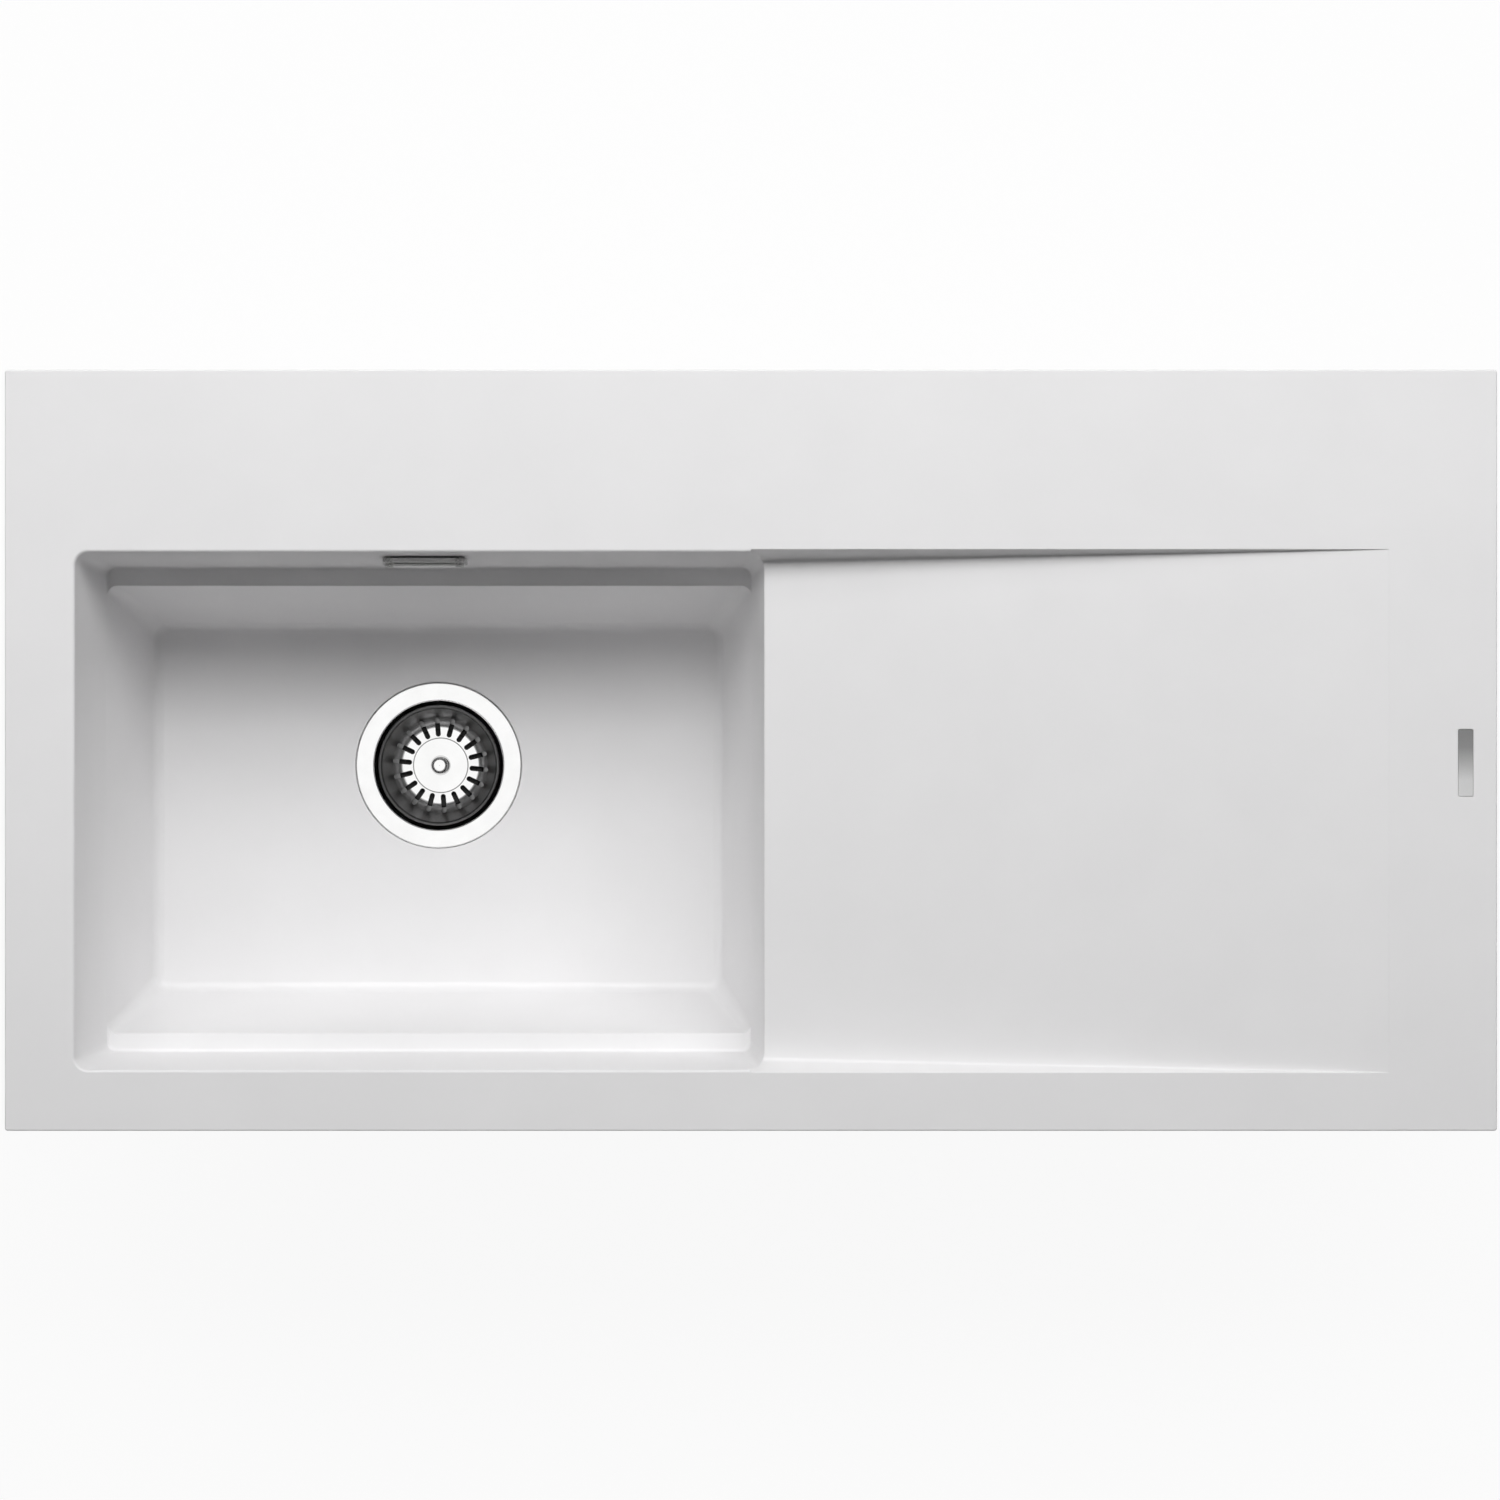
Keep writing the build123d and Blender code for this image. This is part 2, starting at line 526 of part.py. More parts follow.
hose_axis_out = elbow_flange_back - ELBOW_DEPTH / 2
hose_top = overflow_plane.from_local_coords((0, 0, hose_axis_out))
HOSE_Y = hose_top.Y
spigot_end_z = hose_top.Z - ELBOW_SPIGOT_DROP
with BuildPart() as overflow_elbow:
    with BuildSketch(overflow_plane.offset(elbow_flange_back)):
        RectangleRounded(ELBOW_FLANGE_LENGTH, ELBOW_FLANGE_HEIGHT, COVER_CORNER)
    extrude(amount=ELBOW_FLANGE_THICKNESS)
    with BuildSketch(overflow_plane.offset(elbow_back)):
        RectangleRounded(ELBOW_LENGTH, ELBOW_HEIGHT, COVER_CORNER)
    extrude(amount=ELBOW_DEPTH)
    fillet(overflow_elbow.faces().sort_by(Axis.Y)[-1].edges(), COVER_CORNER)
    with BuildSketch(Plane((BOWL_X, HOSE_Y, hose_top.Z))):
        Circle(SPIGOT_RADIUS)
    extrude(amount=-ELBOW_SPIGOT_DROP)
    with BuildSketch(overflow_plane.offset(elbow_back + ELBOW_WALL)):
        RectangleRounded(
            ELBOW_LENGTH - 2 * ELBOW_WALL,
            OVERFLOW_SLOT_HEIGHT,
            COVER_CORNER,
        )
    extrude(amount=gasket_back - elbow_back, mode=Mode.SUBTRACT)
    with BuildSketch(Plane((BOWL_X, HOSE_Y, hose_top.Z))):
        Circle(HOSE_BORE_RADIUS)
    extrude(amount=-ELBOW_SPIGOT_DROP, mode=Mode.SUBTRACT)
    with BuildSketch(overflow_plane.offset(gasket_back)):
        with GridLocations(COVER_SCREW_SPACING, 0, 2, 1):
            Circle(COVER_SCREW_RADIUS + PRESS_GAP)
    extrude(amount=-COVER_SCREW_BITE - PRESS_GAP, mode=Mode.SUBTRACT)
save(overflow_elbow.part, "overflow_elbow")

# ---- Two countersunk screws through cover, wall and gasket into the elbow ----
with BuildPart() as overflow_screws:
    with BuildSketch(overflow_plane.offset(gasket_back - COVER_SCREW_BITE)):
        with GridLocations(COVER_SCREW_SPACING, 0, 2, 1):
            Circle(COVER_SCREW_RADIUS)
    extrude(amount=cover_face - gasket_back + COVER_SCREW_BITE)
    with BuildSketch(overflow_plane.offset(cover_face)):
        with GridLocations(COVER_SCREW_SPACING, 0, 2, 1):
            Circle(COVER_SCREW_HEAD_RADIUS)
    extrude(amount=-cover_sink_depth, taper=45)
    with BuildSketch(overflow_plane.offset(cover_face)):
        with GridLocations(COVER_SCREW_SPACING, 0, 2, 1):
            RegularPolygon(SOCKET_WIDTH / 2, 6)
    extrude(amount=-SOCKET_DEPTH, mode=Mode.SUBTRACT)
save(overflow_screws.part, "overflow_screws")

# ---- Ribbed hose: down behind the bowl, round one bend, forward to the waste ----
INLET_Z = FLOOR_Z - INLET_LEVEL
hose_start_z = spigot_end_z - HOSE_WASHER_THICKNESS
hose_end_y = DRAIN_Y + INLET_REACH + HOSE_WASHER_THICKNESS
hose_drop = hose_start_z - INLET_Z - HOSE_BEND_RADIUS
hose_run = HOSE_Y - hose_end_y - HOSE_BEND_RADIUS
hose_bend_length = HOSE_BEND_RADIUS * pi / 2
hose_length = hose_drop + hose_bend_length + hose_run


def hose_plane(distance):
    """The plane square to the hose's centre line at a distance from its upper end."""
    turn = min(max((distance - hose_drop) / HOSE_BEND_RADIUS, 0), pi / 2)
    straight = max(distance - hose_drop - hose_bend_length, 0)
    y = HOSE_Y - HOSE_BEND_RADIUS * (1 - cos(turn)) - straight
    z = hose_start_z - min(distance, hose_drop) - HOSE_BEND_RADIUS * sin(turn)
    return Plane(origin=(BOWL_X, y, z), x_dir=(1, 0, 0), z_dir=(0, -sin(turn), -cos(turn)))


rib_profile = (
    (HOSE_RIB_FOOT_SHARE, HOSE_CUFF_RADIUS),
    (HOSE_RIB_CREST_SHARE, HOSE_CREST_RADIUS),
    (1 - HOSE_RIB_CREST_SHARE, HOSE_CREST_RADIUS),
    (1 - HOSE_RIB_FOOT_SHARE, HOSE_CUFF_RADIUS),
)
ribbed_length = hose_length - 2 * HOSE_CUFF_LENGTH
rib_count = floor(ribbed_length / HOSE_RIB_PITCH)
rib_pitch = ribbed_length / rib_count
with BuildPart() as overflow_hose:
    with BuildSketch(hose_plane(0)):
        Circle(HOSE_CUFF_RADIUS)
    for rib in range(rib_count):
        for share, radius in rib_profile:
            with BuildSketch(hose_plane(HOSE_CUFF_LENGTH + (rib + share) * rib_pitch)):
                Circle(radius)
    with BuildSketch(hose_plane(hose_length)):
        Circle(HOSE_CUFF_RADIUS)
    loft(ruled=True)
    with BuildSketch(hose_plane(0)):
        Circle(HOSE_COLLAR_RADIUS)
    extrude(amount=HOSE_COLLAR_THICKNESS)
    with BuildSketch(hose_plane(hose_length)):
        Circle(HOSE_COLLAR_RADIUS)
    extrude(amount=-HOSE_COLLAR_THICKNESS)
    with BuildLine() as hose_centre:
        FilletPolyline(
            hose_plane(0).origin,
            (BOWL_X, HOSE_Y, INLET_Z),
            hose_plane(hose_length).origin,
            radius=HOSE_BEND_RADIUS,
        )
    with BuildSketch(hose_plane(0)):
        Circle(HOSE_BORE_RADIUS)
    sweep(path=hose_centre.line, mode=Mode.SUBTRACT)
save(overflow_hose.part, "overflow_hose")


def ring_area(radius):
    """Area between a circle of the hose's outside and its bore."""
    return pi * (radius**2 - HOSE_BORE_RADIUS**2)


crest_share = 1 - 2 * HOSE_RIB_CREST_SHARE
flank_share = 2 * (HOSE_RIB_CREST_SHARE - HOSE_RIB_FOOT_SHARE)
valley_share = 2 * HOSE_RIB_FOOT_SHARE
flank_area = (
    ring_area(HOSE_CUFF_RADIUS) + ring_area(HOSE_CREST_RADIUS)
) / 2 - pi * (HOSE_CREST_RADIUS - HOSE_CUFF_RADIUS) ** 2 / 6
ribbed_area = (
    crest_share * ring_area(HOSE_CREST_RADIUS)
    + flank_share * flank_area
    + valley_share * ring_area(HOSE_CUFF_RADIUS)
)
collar_area = ring_area(HOSE_COLLAR_RADIUS) - ring_area(HOSE_CUFF_RADIUS)
hose_volume = (
    ribbed_area * ribbed_length
    + ring_area(HOSE_CUFF_RADIUS) * 2 * HOSE_CUFF_LENGTH
    + collar_area * 2 * HOSE_COLLAR_THICKNESS
)
print(
    f"hose: {hose_length:.1f} mm long, {rib_count} ribs, volume {overflow_hose.part.volume:.0f},"
    f" section times length {hose_volume:.0f}"
)

upper_joint = Plane(origin=(BOWL_X, HOSE_Y, spigot_end_z), x_dir=(1, 0, 0), z_dir=(0, 0, -1))
lower_joint = Plane(
    origin=(DRAIN_X, DRAIN_Y + INLET_REACH, INLET_Z), x_dir=(1, 0, 0), z_dir=(0, 1, 0)
)


def union_nut(joint):
    """A ribbed union nut that holds the hose's collar to the spigot ending at the joint."""
    nut_bore = SPIGOT_RADIUS + NUT_CLEARANCE
    collar_end = HOSE_WASHER_THICKNESS + HOSE_COLLAR_THICKNESS
    with BuildPart() as nut:
        with BuildSketch(joint.offset(-NUT_GRIP)):
            Circle(nut_bore + NUT_WALL)
            with PolarLocations(nut_bore + NUT_WALL, NUT_RIB_COUNT):
                Circle(NUT_RIB_RADIUS)
        extrude(amount=NUT_GRIP + collar_end + NUT_LIP)
        with BuildSketch(joint.offset(-NUT_GRIP)):
            Circle(nut_bore)
        extrude(amount=NUT_GRIP + collar_end, mode=Mode.SUBTRACT)
        with BuildSketch(joint):
            Circle(HOSE_CUFF_RADIUS + NUT_CLEARANCE)
        extrude(amount=collar_end + NUT_LIP, mode=Mode.SUBTRACT)
    return nut.part


save(union_nut(upper_joint), "hose_nut_upper")
save(union_nut(lower_joint), "hose_nut_lower")

with BuildPart() as hose_washers:
    with BuildSketch(upper_joint, lower_joint):
        Circle(HOSE_COLLAR_RADIUS)
        Circle(HOSE_BORE_RADIUS, mode=Mode.SUBTRACT)
    extrude(amount=HOSE_WASHER_THICKNESS)
save(hose_washers.part, "hose_washers")

# ---- Waste flange: a flat steel ring, a cup and a ring of holes round the screw ----
cup_wall_outer = FLANGE_OPENING_RADIUS + SHEET
with BuildPart() as waste_flange:
    with BuildSketch(drain_section):
        with BuildLine():
            Polyline(
                (0, FLANGE_TOP),
                (FLANGE_RADIUS, FLANGE_TOP),
                (FLANGE_RADIUS, FLANGE_TOP - SHEET),
                (cup_wall_outer, FLANGE_TOP - SHEET),
                (cup_wall_outer, FLANGE_TOP - CUP_NECK_DEPTH),
                (CUP_BOTTOM_RADIUS + SHEET, CUP_FLOOR - SHEET),
                (0, CUP_FLOOR - SHEET),
                close=True,
            )
        make_face()
    revolve(axis=drain_axis)
    fillet(waste_flange.edges().filter_by(GeomType.CIRCLE).sort_by(Axis.Z)[0], CUP_FILLET + SHEET)
    with BuildSketch(drain_section):
        with BuildLine():
            Polyline(
                (0, FLANGE_TOP),
                (FLANGE_OPENING_RADIUS, FLANGE_TOP),
                (FLANGE_OPENING_RADIUS, FLANGE_TOP - CUP_NECK_DEPTH),
                (CUP_BOTTOM_RADIUS, CUP_FLOOR),
                (0, CUP_FLOOR),
                close=True,
            )
        make_face()
    revolve(axis=drain_axis, mode=Mode.SUBTRACT)
    flange_circles = waste_flange.edges().filter_by(GeomType.CIRCLE)
    cup_corner = flange_circles.filter_by(
        lambda edge: abs(edge.center().Z - CUP_FLOOR) < SHEET / 4
    ).sort_by(SortBy.RADIUS)[-1]
    fillet(cup_corner, CUP_FILLET)
    top_edges = waste_flange.edges().filter_by(GeomType.CIRCLE).group_by(Axis.Z)[-1]
    fillet(top_edges.sort_by(SortBy.RADIUS)[0], FLANGE_LIP_ROUND / 2)
    fillet(top_edges.sort_by(SortBy.RADIUS)[-1], SHEET / 2)
    with BuildSketch(drain_plane(CUP_FLOOR)):
        with PolarLocations(CUP_HOLE_CIRCLE, CUP_HOLE_COUNT):
            Circle(CUP_HOLE_RADIUS)
        Circle(WASTE_SCREW_RADIUS + SCREW_CLEARANCE)
    extrude(amount=-SHEET, mode=Mode.SUBTRACT)
save(waste_flange.part, "waste_flange")


def flat_ring(z, thickness, inner, outer):
    """A flat washer round the drain's axis, from height z upwards."""
    with BuildPart() as ring:
        with BuildSketch(drain_plane(z)):
            Circle(outer)
            Circle(inner, mode=Mode.SUBTRACT)
        extrude(amount=thickness)
    return ring.part


flange_gasket_z = FLOOR_Z - FLANGE_SEAT_DEPTH
flange_gasket_thickness = FLANGE_SEAT_DEPTH + FLANGE_PROUD - SHEET
flange_gasket = flat_ring(
    flange_gasket_z, flange_gasket_thickness, DRAIN_HOLE_RADIUS + FLANGE_SEAT_GAP, FLANGE_RADIUS
)
save(flange_gasket, "flange_gasket")
body_gasket = flat_ring(BODY_TOP, GASKET_THICKNESS, DRAIN_HOLE_RADIUS, BODY_FLANGE_RADIUS)
save(body_gasket, "body_gasket")

# ---- Waste body: chamber, ribs to a hub, overflow inlet at the rear, outlet below ----
body_bore = BODY_RADIUS - BODY_WALL
outlet_bore = OUTLET_RADIUS - OUTLET_WALL
cone_end = BODY_BOTTOM - BODY_CONE_HEIGHT
hub_bottom = HUB_TOP - BODY_HUB_HEIGHT
with BuildPart() as waste_body:
    with BuildSketch(drain_section):
        with BuildLine():
            Polyline(
                (0, BODY_TOP),
                (BODY_FLANGE_RADIUS, BODY_TOP),
                (BODY_FLANGE_RADIUS, BODY_TOP - BODY_FLANGE_THICKNESS),
                (BODY_RADIUS, BODY_TOP - BODY_FLANGE_THICKNESS),
                (BODY_RADIUS, BODY_BOTTOM),
                (OUTLET_RADIUS, cone_end),
                (OUTLET_RADIUS, OUTLET_END),
                (0, OUTLET_END),
                close=True,
            )
        make_face()
    revolve(axis=drain_axis)
    with BuildSketch(lower_joint):
        Circle(SPIGOT_RADIUS)
    extrude(amount=-INLET_REACH)
    with BuildSketch(drain_section):
        with BuildLine():
            Polyline(
                (0, BODY_TOP),
                (body_bore, BODY_TOP),
                (body_bore, BODY_BOTTOM + BODY_WALL / 2),
                (outlet_bore, cone_end + BODY_WALL / 2),
                (outlet_bore, OUTLET_END),
                (0, OUTLET_END),
                close=True,
            )
        make_face()
    revolve(axis=drain_axis, mode=Mode.SUBTRACT)
    with BuildSketch(lower_joint):
        Circle(HOSE_BORE_RADIUS)
    extrude(amount=-INLET_REACH, mode=Mode.SUBTRACT)
    with BuildSketch(drain_plane(hub_bottom)):
        Circle(BODY_HUB_RADIUS)
        with PolarLocations(BODY_RADIUS / 2, BODY_RIB_COUNT, start_angle=-90):
            Rectangle(BODY_RADIUS - BODY_WALL / 2, BODY_RIB_THICKNESS)
    extrude(amount=BODY_HUB_HEIGHT)
    with BuildSketch(drain_plane(HUB_TOP)):
        Circle(WASTE_SCREW_RADIUS + SCREW_CLEARANCE)
    extrude(amount=-BODY_HUB_HEIGHT, mode=Mode.SUBTRACT)
    with BuildSketch(drain_plane(HUB_TOP)):
        Circle(INSERT_RADIUS + PRESS_GAP)
    extrude(amount=-INSERT_LENGTH, mode=Mode.SUBTRACT)
save(waste_body.part, "waste_body")

with BuildPart() as waste_insert:
    with BuildSketch(drain_plane(HUB_TOP)):
        Circle(INSERT_RADIUS)
        Circle(WASTE_SCREW_RADIUS + PRESS_GAP, mode=Mode.SUBTRACT)
    extrude(amount=-INSERT_LENGTH)
save(waste_insert.part, "waste_insert")

with BuildPart() as waste_screw:
    with BuildSketch(drain_plane(CUP_FLOOR)):
        Circle(WASTE_SCREW_HEAD_RADIUS)
    extrude(amount=WASTE_SCREW_HEAD_HEIGHT)
    chamfer(waste_screw.faces().sort_by(Axis.Z)[-1].edges(), SHEET / 2)
    with BuildSketch(drain_plane(CUP_FLOOR)):
        Circle(WASTE_SCREW_RADIUS)
    extrude(amount=hub_bottom - CUP_FLOOR)
    with BuildSketch(drain_plane(CUP_FLOOR + WASTE_SCREW_HEAD_HEIGHT)):
        Circle(STEM_RADIUS + STEM_FIT)
    extrude(amount=-STEM_GUIDE_DEPTH - REST_GAP, mode=Mode.SUBTRACT)
save(waste_screw.part, "waste_screw")

# ---- Strainer basket: a pierced cup with a rolled rim ----
basket_rim_z = FLANGE_TOP - BASKET_RIM_DROP
basket_floor = FLANGE_TOP - BASKET_DEPTH
basket_wall_run = BASKET_RIM_RADIUS - BASKET_ROLL
with BuildPart() as basket_cup:
    with BuildSketch(drain_section):
        with BuildLine():
            Polyline(
                (0, basket_rim_z),
                (basket_wall_run + BASKET_SHEET, basket_rim_z),
                (BASKET_BOTTOM_RADIUS + BASKET_SHEET, basket_floor - BASKET_SHEET),
                (0, basket_floor - BASKET_SHEET),
                close=True,
            )
        make_face()
    revolve(axis=drain_axis)
    fillet(
        basket_cup.edges().filter_by(GeomType.CIRCLE).sort_by(Axis.Z)[0],
        BASKET_FILLET + BASKET_SHEET,
    )
    with BuildSketch(drain_section):
        with Locations((BASKET_RIM_RADIUS, basket_rim_z)):
            Circle(BASKET_ROLL)
    revolve(axis=drain_axis)
    with BuildSketch(drain_section) as basket_inside:
        with BuildLine():
            Polyline(
                (0, FLANGE_TOP),
                (basket_wall_run, FLANGE_TOP),
                (basket_wall_run, basket_rim_z),
                (BASKET_BOTTOM_RADIUS, basket_floor),
                (0, basket_floor),
                close=True,
            )
        make_face()
        inner_corner = basket_inside.vertices().group_by(Axis.Y)[0].sort_by(Axis.X)[-1]
        fillet(inner_corner, BASKET_FILLET)
    revolve(axis=drain_axis, mode=Mode.SUBTRACT)
    slot_length = BASKET_SLOT_END - BASKET_SLOT_START
    with BuildSketch(drain_plane(basket_floor - BASKET_SHEET)):
        with PolarLocations(
            (BASKET_SLOT_START + BASKET_SLOT_END) / 2,
            BASKET_SLOT_COUNT,
            start_angle=BASKET_SLOT_TURN,
        ):
            SlotOverall(slot_length, BASKET_SLOT_WIDTH)
    extrude(amount=BASKET_SHEET + BASKET_SLOT_RISE, mode=Mode.SUBTRACT)
    with BuildSketch(drain_plane(basket_floor)):
        Circle(BASKET_DISC_RADIUS)
    extrude(amount=BASKET_DISC_THICKNESS)
    with BuildSketch(drain_plane(basket_floor - BASKET_SHEET)):
        Circle(STEM_RADIUS + STEM_FIT)
    extrude(amount=BASKET_SHEET + BASKET_DISC_THICKNESS, mode=Mode.SUBTRACT)
save(basket_cup.part, "basket_cup")

# ---- Knob, stem and sealing disc, which lift the cup between them ----
knob_base = basket_floor + BASKET_DISC_THICKNESS + STEM_FIT
knob_cap_z = knob_base + KNOB_HEIGHT - KNOB_CAP
collar_top = basket_floor - BASKET_SHEET - STEM_FIT
seal_disc_bottom = CUP_FLOOR + WASTE_SCREW_HEAD_HEIGHT + REST_GAP
seal_disc_top = seal_disc_bottom + SEAL_DISC_THICKNESS
with BuildPart() as basket_knob:
    with BuildSketch(drain_section):
        with BuildLine():
            Polyline(
                (STEM_RADIUS, knob_base),
                (KNOB_RADIUS, knob_base),
                (KNOB_NECK_RADIUS, knob_base + KNOB_FLARE),
                (KNOB_NECK_RADIUS, knob_cap_z - KNOB_FLARE),
                (KNOB_RADIUS, knob_cap_z),
                (KNOB_RADIUS, knob_cap_z + KNOB_CAP - KNOB_CAP_EDGE),
                (KNOB_RADIUS - KNOB_CAP_EDGE, knob_cap_z + KNOB_CAP),
                (0, knob_cap_z + KNOB_CAP),
                (0, knob_cap_z),
                (STEM_RADIUS, knob_cap_z),
                close=True,
            )
        make_face()
    revolve(axis=drain_axis)
save(basket_knob.part, "basket_knob")

with BuildPart() as basket_stem:
    stem_tip = CUP_FLOOR + WASTE_SCREW_HEAD_HEIGHT - STEM_GUIDE_DEPTH
    with BuildSketch(drain_plane(stem_tip)):
        Circle(STEM_RADIUS)
    extrude(amount=knob_cap_z - stem_tip)
    with BuildSketch(drain_plane(seal_disc_top)):
        Circle(STEM_COLLAR_RADIUS)
    extrude(amount=collar_top - seal_disc_top)
save(basket_stem.part, "basket_stem")

with BuildPart() as basket_seal:
    with BuildSketch(drain_plane(CUP_FLOOR + REST_GAP)):
        Circle(SEAL_DISC_RADIUS)
    extrude(amount=seal_disc_top - CUP_FLOOR - REST_GAP)
    fillet(basket_seal.faces().sort_by(Axis.Z)[-1].edges(), SEAL_LIP_WIDTH / 2)
    with BuildSketch(drain_plane(CUP_FLOOR + REST_GAP)):
        Circle(SEAL_DISC_RADIUS - SEAL_LIP_WIDTH)
    extrude(amount=WASTE_SCREW_HEAD_HEIGHT, mode=Mode.SUBTRACT)
    with BuildSketch(drain_plane(CUP_FLOOR)):
        Circle(STEM_RADIUS)
    extrude(amount=seal_disc_top - CUP_FLOOR, mode=Mode.SUBTRACT)
save(basket_seal.part, "basket_seal")

# ---- Clamps: insert in the boss, screw, and a claw that swings out under the worktop ----
claw_tooth_top = -WORKTOP_THICKNESS - CLAW_THICKNESS
claw_base_z = claw_tooth_top - CLAW_TOOTH_HEIGHT
screw_head_z = claw_base_z - CLAW_PLAY
with BuildPart() as clamp_inserts:
    with BuildSketch(Plane.XY.offset(CLAMP_BOSS_Z)):
        with Locations(*clamp_centres):
            Circle(CLAMP_INSERT_RADIUS)
            Circle(CLAMP_SCREW_RADIUS + PRESS_GAP, mode=Mode.SUBTRACT)
    extrude(amount=CLAMP_INSERT_LENGTH)
save(clamp_inserts.part, "clamp_inserts")

with BuildPart() as clamp_screws:
    with BuildSketch(Plane.XY.offset(screw_head_z)):
        with Locations(*clamp_centres):
            Circle(CLAMP_SCREW_RADIUS)
    extrude(amount=CLAMP_BOSS_Z + CLAMP_INSERT_LENGTH - REST_GAP - screw_head_z)
    with BuildSketch(Plane.XY.offset(screw_head_z)):
        with Locations(*clamp_centres):
            Circle(CLAMP_SCREW_HEAD_RADIUS)
    extrude(amount=-CLAMP_SCREW_HEAD_HEIGHT)
    with BuildSketch(Plane.XY.offset(screw_head_z - CLAMP_SCREW_HEAD_HEIGHT)):
        with Locations(*clamp_centres):
            Rectangle(2 * CLAMP_SCREW_HEAD_RADIUS, CLAMP_SCREW_SLOT)
    extrude(amount=CLAMP_SCREW_HEAD_HEIGHT / 2, mode=Mode.SUBTRACT)
save(clamp_screws.part, "clamp_screws")


def clamp_claw(centre, outward):
    """A bent steel claw, parked along the cut-out's edge a quarter turn from gripping."""
    along = (outward[1], -outward[0], 0)
    root = Plane(origin=(centre[0], centre[1], claw_base_z), x_dir=along, z_dir=(0, 0, 1))
    with BuildPart() as claw:
        with BuildSketch(root):
            with Locations((CLAW_REACH / 2 - CLAW_WIDTH / 4, 0)):
                Rectangle(CLAW_REACH + CLAW_WIDTH / 2, CLAW_WIDTH)
        extrude(amount=CLAW_THICKNESS)
        with BuildSketch(root):
            with Locations((CLAW_REACH - CLAW_THICKNESS / 2, 0)):
                Rectangle(CLAW_THICKNESS, CLAW_WIDTH)
        extrude(amount=CLAW_TOOTH_HEIGHT)
        fillet(claw.edges().filter_by(Axis.Z), CLAW_THICKNESS / 4)
        with BuildSketch(root):
            Circle(CLAMP_SCREW_RADIUS + CLAW_PLAY)
        extrude(amount=CLAW_THICKNESS, mode=Mode.SUBTRACT)
    return claw.part


for number, (centre, outward) in enumerate(clamp_sites, start=1):
    save(clamp_claw(centre, outward), f"clamp_claw_{number}")
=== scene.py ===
import json
import math

import bmesh
import bpy
from mathutils import Matrix, Vector

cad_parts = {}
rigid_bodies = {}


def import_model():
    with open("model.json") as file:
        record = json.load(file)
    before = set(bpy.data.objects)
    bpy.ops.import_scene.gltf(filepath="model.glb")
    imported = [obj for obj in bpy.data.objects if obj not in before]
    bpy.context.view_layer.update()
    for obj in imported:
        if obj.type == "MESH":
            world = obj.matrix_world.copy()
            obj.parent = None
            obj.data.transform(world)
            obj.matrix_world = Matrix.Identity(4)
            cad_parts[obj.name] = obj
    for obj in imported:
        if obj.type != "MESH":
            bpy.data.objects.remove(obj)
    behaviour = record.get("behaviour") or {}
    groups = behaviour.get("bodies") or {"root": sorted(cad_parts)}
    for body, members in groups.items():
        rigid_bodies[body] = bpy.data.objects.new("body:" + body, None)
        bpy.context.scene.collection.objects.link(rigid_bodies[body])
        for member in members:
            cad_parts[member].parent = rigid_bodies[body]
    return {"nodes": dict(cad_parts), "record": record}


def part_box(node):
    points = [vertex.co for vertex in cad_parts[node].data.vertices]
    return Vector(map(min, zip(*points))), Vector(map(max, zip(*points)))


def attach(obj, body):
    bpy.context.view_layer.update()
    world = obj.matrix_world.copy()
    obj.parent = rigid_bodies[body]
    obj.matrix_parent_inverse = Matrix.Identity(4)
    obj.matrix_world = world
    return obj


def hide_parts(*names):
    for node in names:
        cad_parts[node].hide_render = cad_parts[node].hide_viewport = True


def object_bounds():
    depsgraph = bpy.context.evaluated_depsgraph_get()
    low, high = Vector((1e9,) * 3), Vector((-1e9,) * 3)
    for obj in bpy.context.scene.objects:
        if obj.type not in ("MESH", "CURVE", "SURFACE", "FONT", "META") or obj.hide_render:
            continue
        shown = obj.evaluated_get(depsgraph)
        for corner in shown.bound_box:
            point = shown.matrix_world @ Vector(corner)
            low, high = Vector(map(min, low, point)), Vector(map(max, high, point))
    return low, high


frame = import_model()
CAD_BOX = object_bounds()

MM = 0.001

# ---- Camera: straight down on the slab, as in the photograph ----
PHOTO_PIXELS = 1500
PIXELS_PER_METRE = 1492.4
SLAB_CENTRE_PIXEL = (750.9, 750.25)
CAMERA_ABOVE_RIM = 3.65
SENSOR = 36.0
CAMERA_FAR_CLIP = 20.0

RIM_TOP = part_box("sink_body")[1].z


def add_camera():
    """Looks straight down from a height that gives the photograph's perspective."""
    data = bpy.data.cameras.new("camera")
    camera = bpy.data.objects.new("camera", data)
    bpy.context.scene.collection.objects.link(camera)
    frame_width = PHOTO_PIXELS / PIXELS_PER_METRE
    data.sensor_width = SENSOR
    data.lens = SENSOR * CAMERA_ABOVE_RIM / frame_width
    data.clip_end = CAMERA_FAR_CLIP
    middle = PHOTO_PIXELS / 2
    across = (middle - SLAB_CENTRE_PIXEL[0]) / PIXELS_PER_METRE
    along = (SLAB_CENTRE_PIXEL[1] - middle) / PIXELS_PER_METRE
    camera.location = (across, along, RIM_TOP + CAMERA_ABOVE_RIM)
    bpy.context.scene.camera = camera


add_camera()


# ---- Materials ----
STEEL_EDGE_ROUND = 0.35 * MM
BEVEL_SAMPLES = 6
BRUSHED_ROUGHNESS = 0.32

# Places in the frame that a material is measured from.
DRAIN_CENTRE = (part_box("waste_flange")[0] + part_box("waste_flange")[1]) / 2
COVER_CENTRE = (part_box("overflow_cover")[0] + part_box("overflow_cover")[1]) / 2
PLATE_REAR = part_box("badge_plate")[1]
DRAIN_X, DRAIN_Y, _ = DRAIN_CENTRE

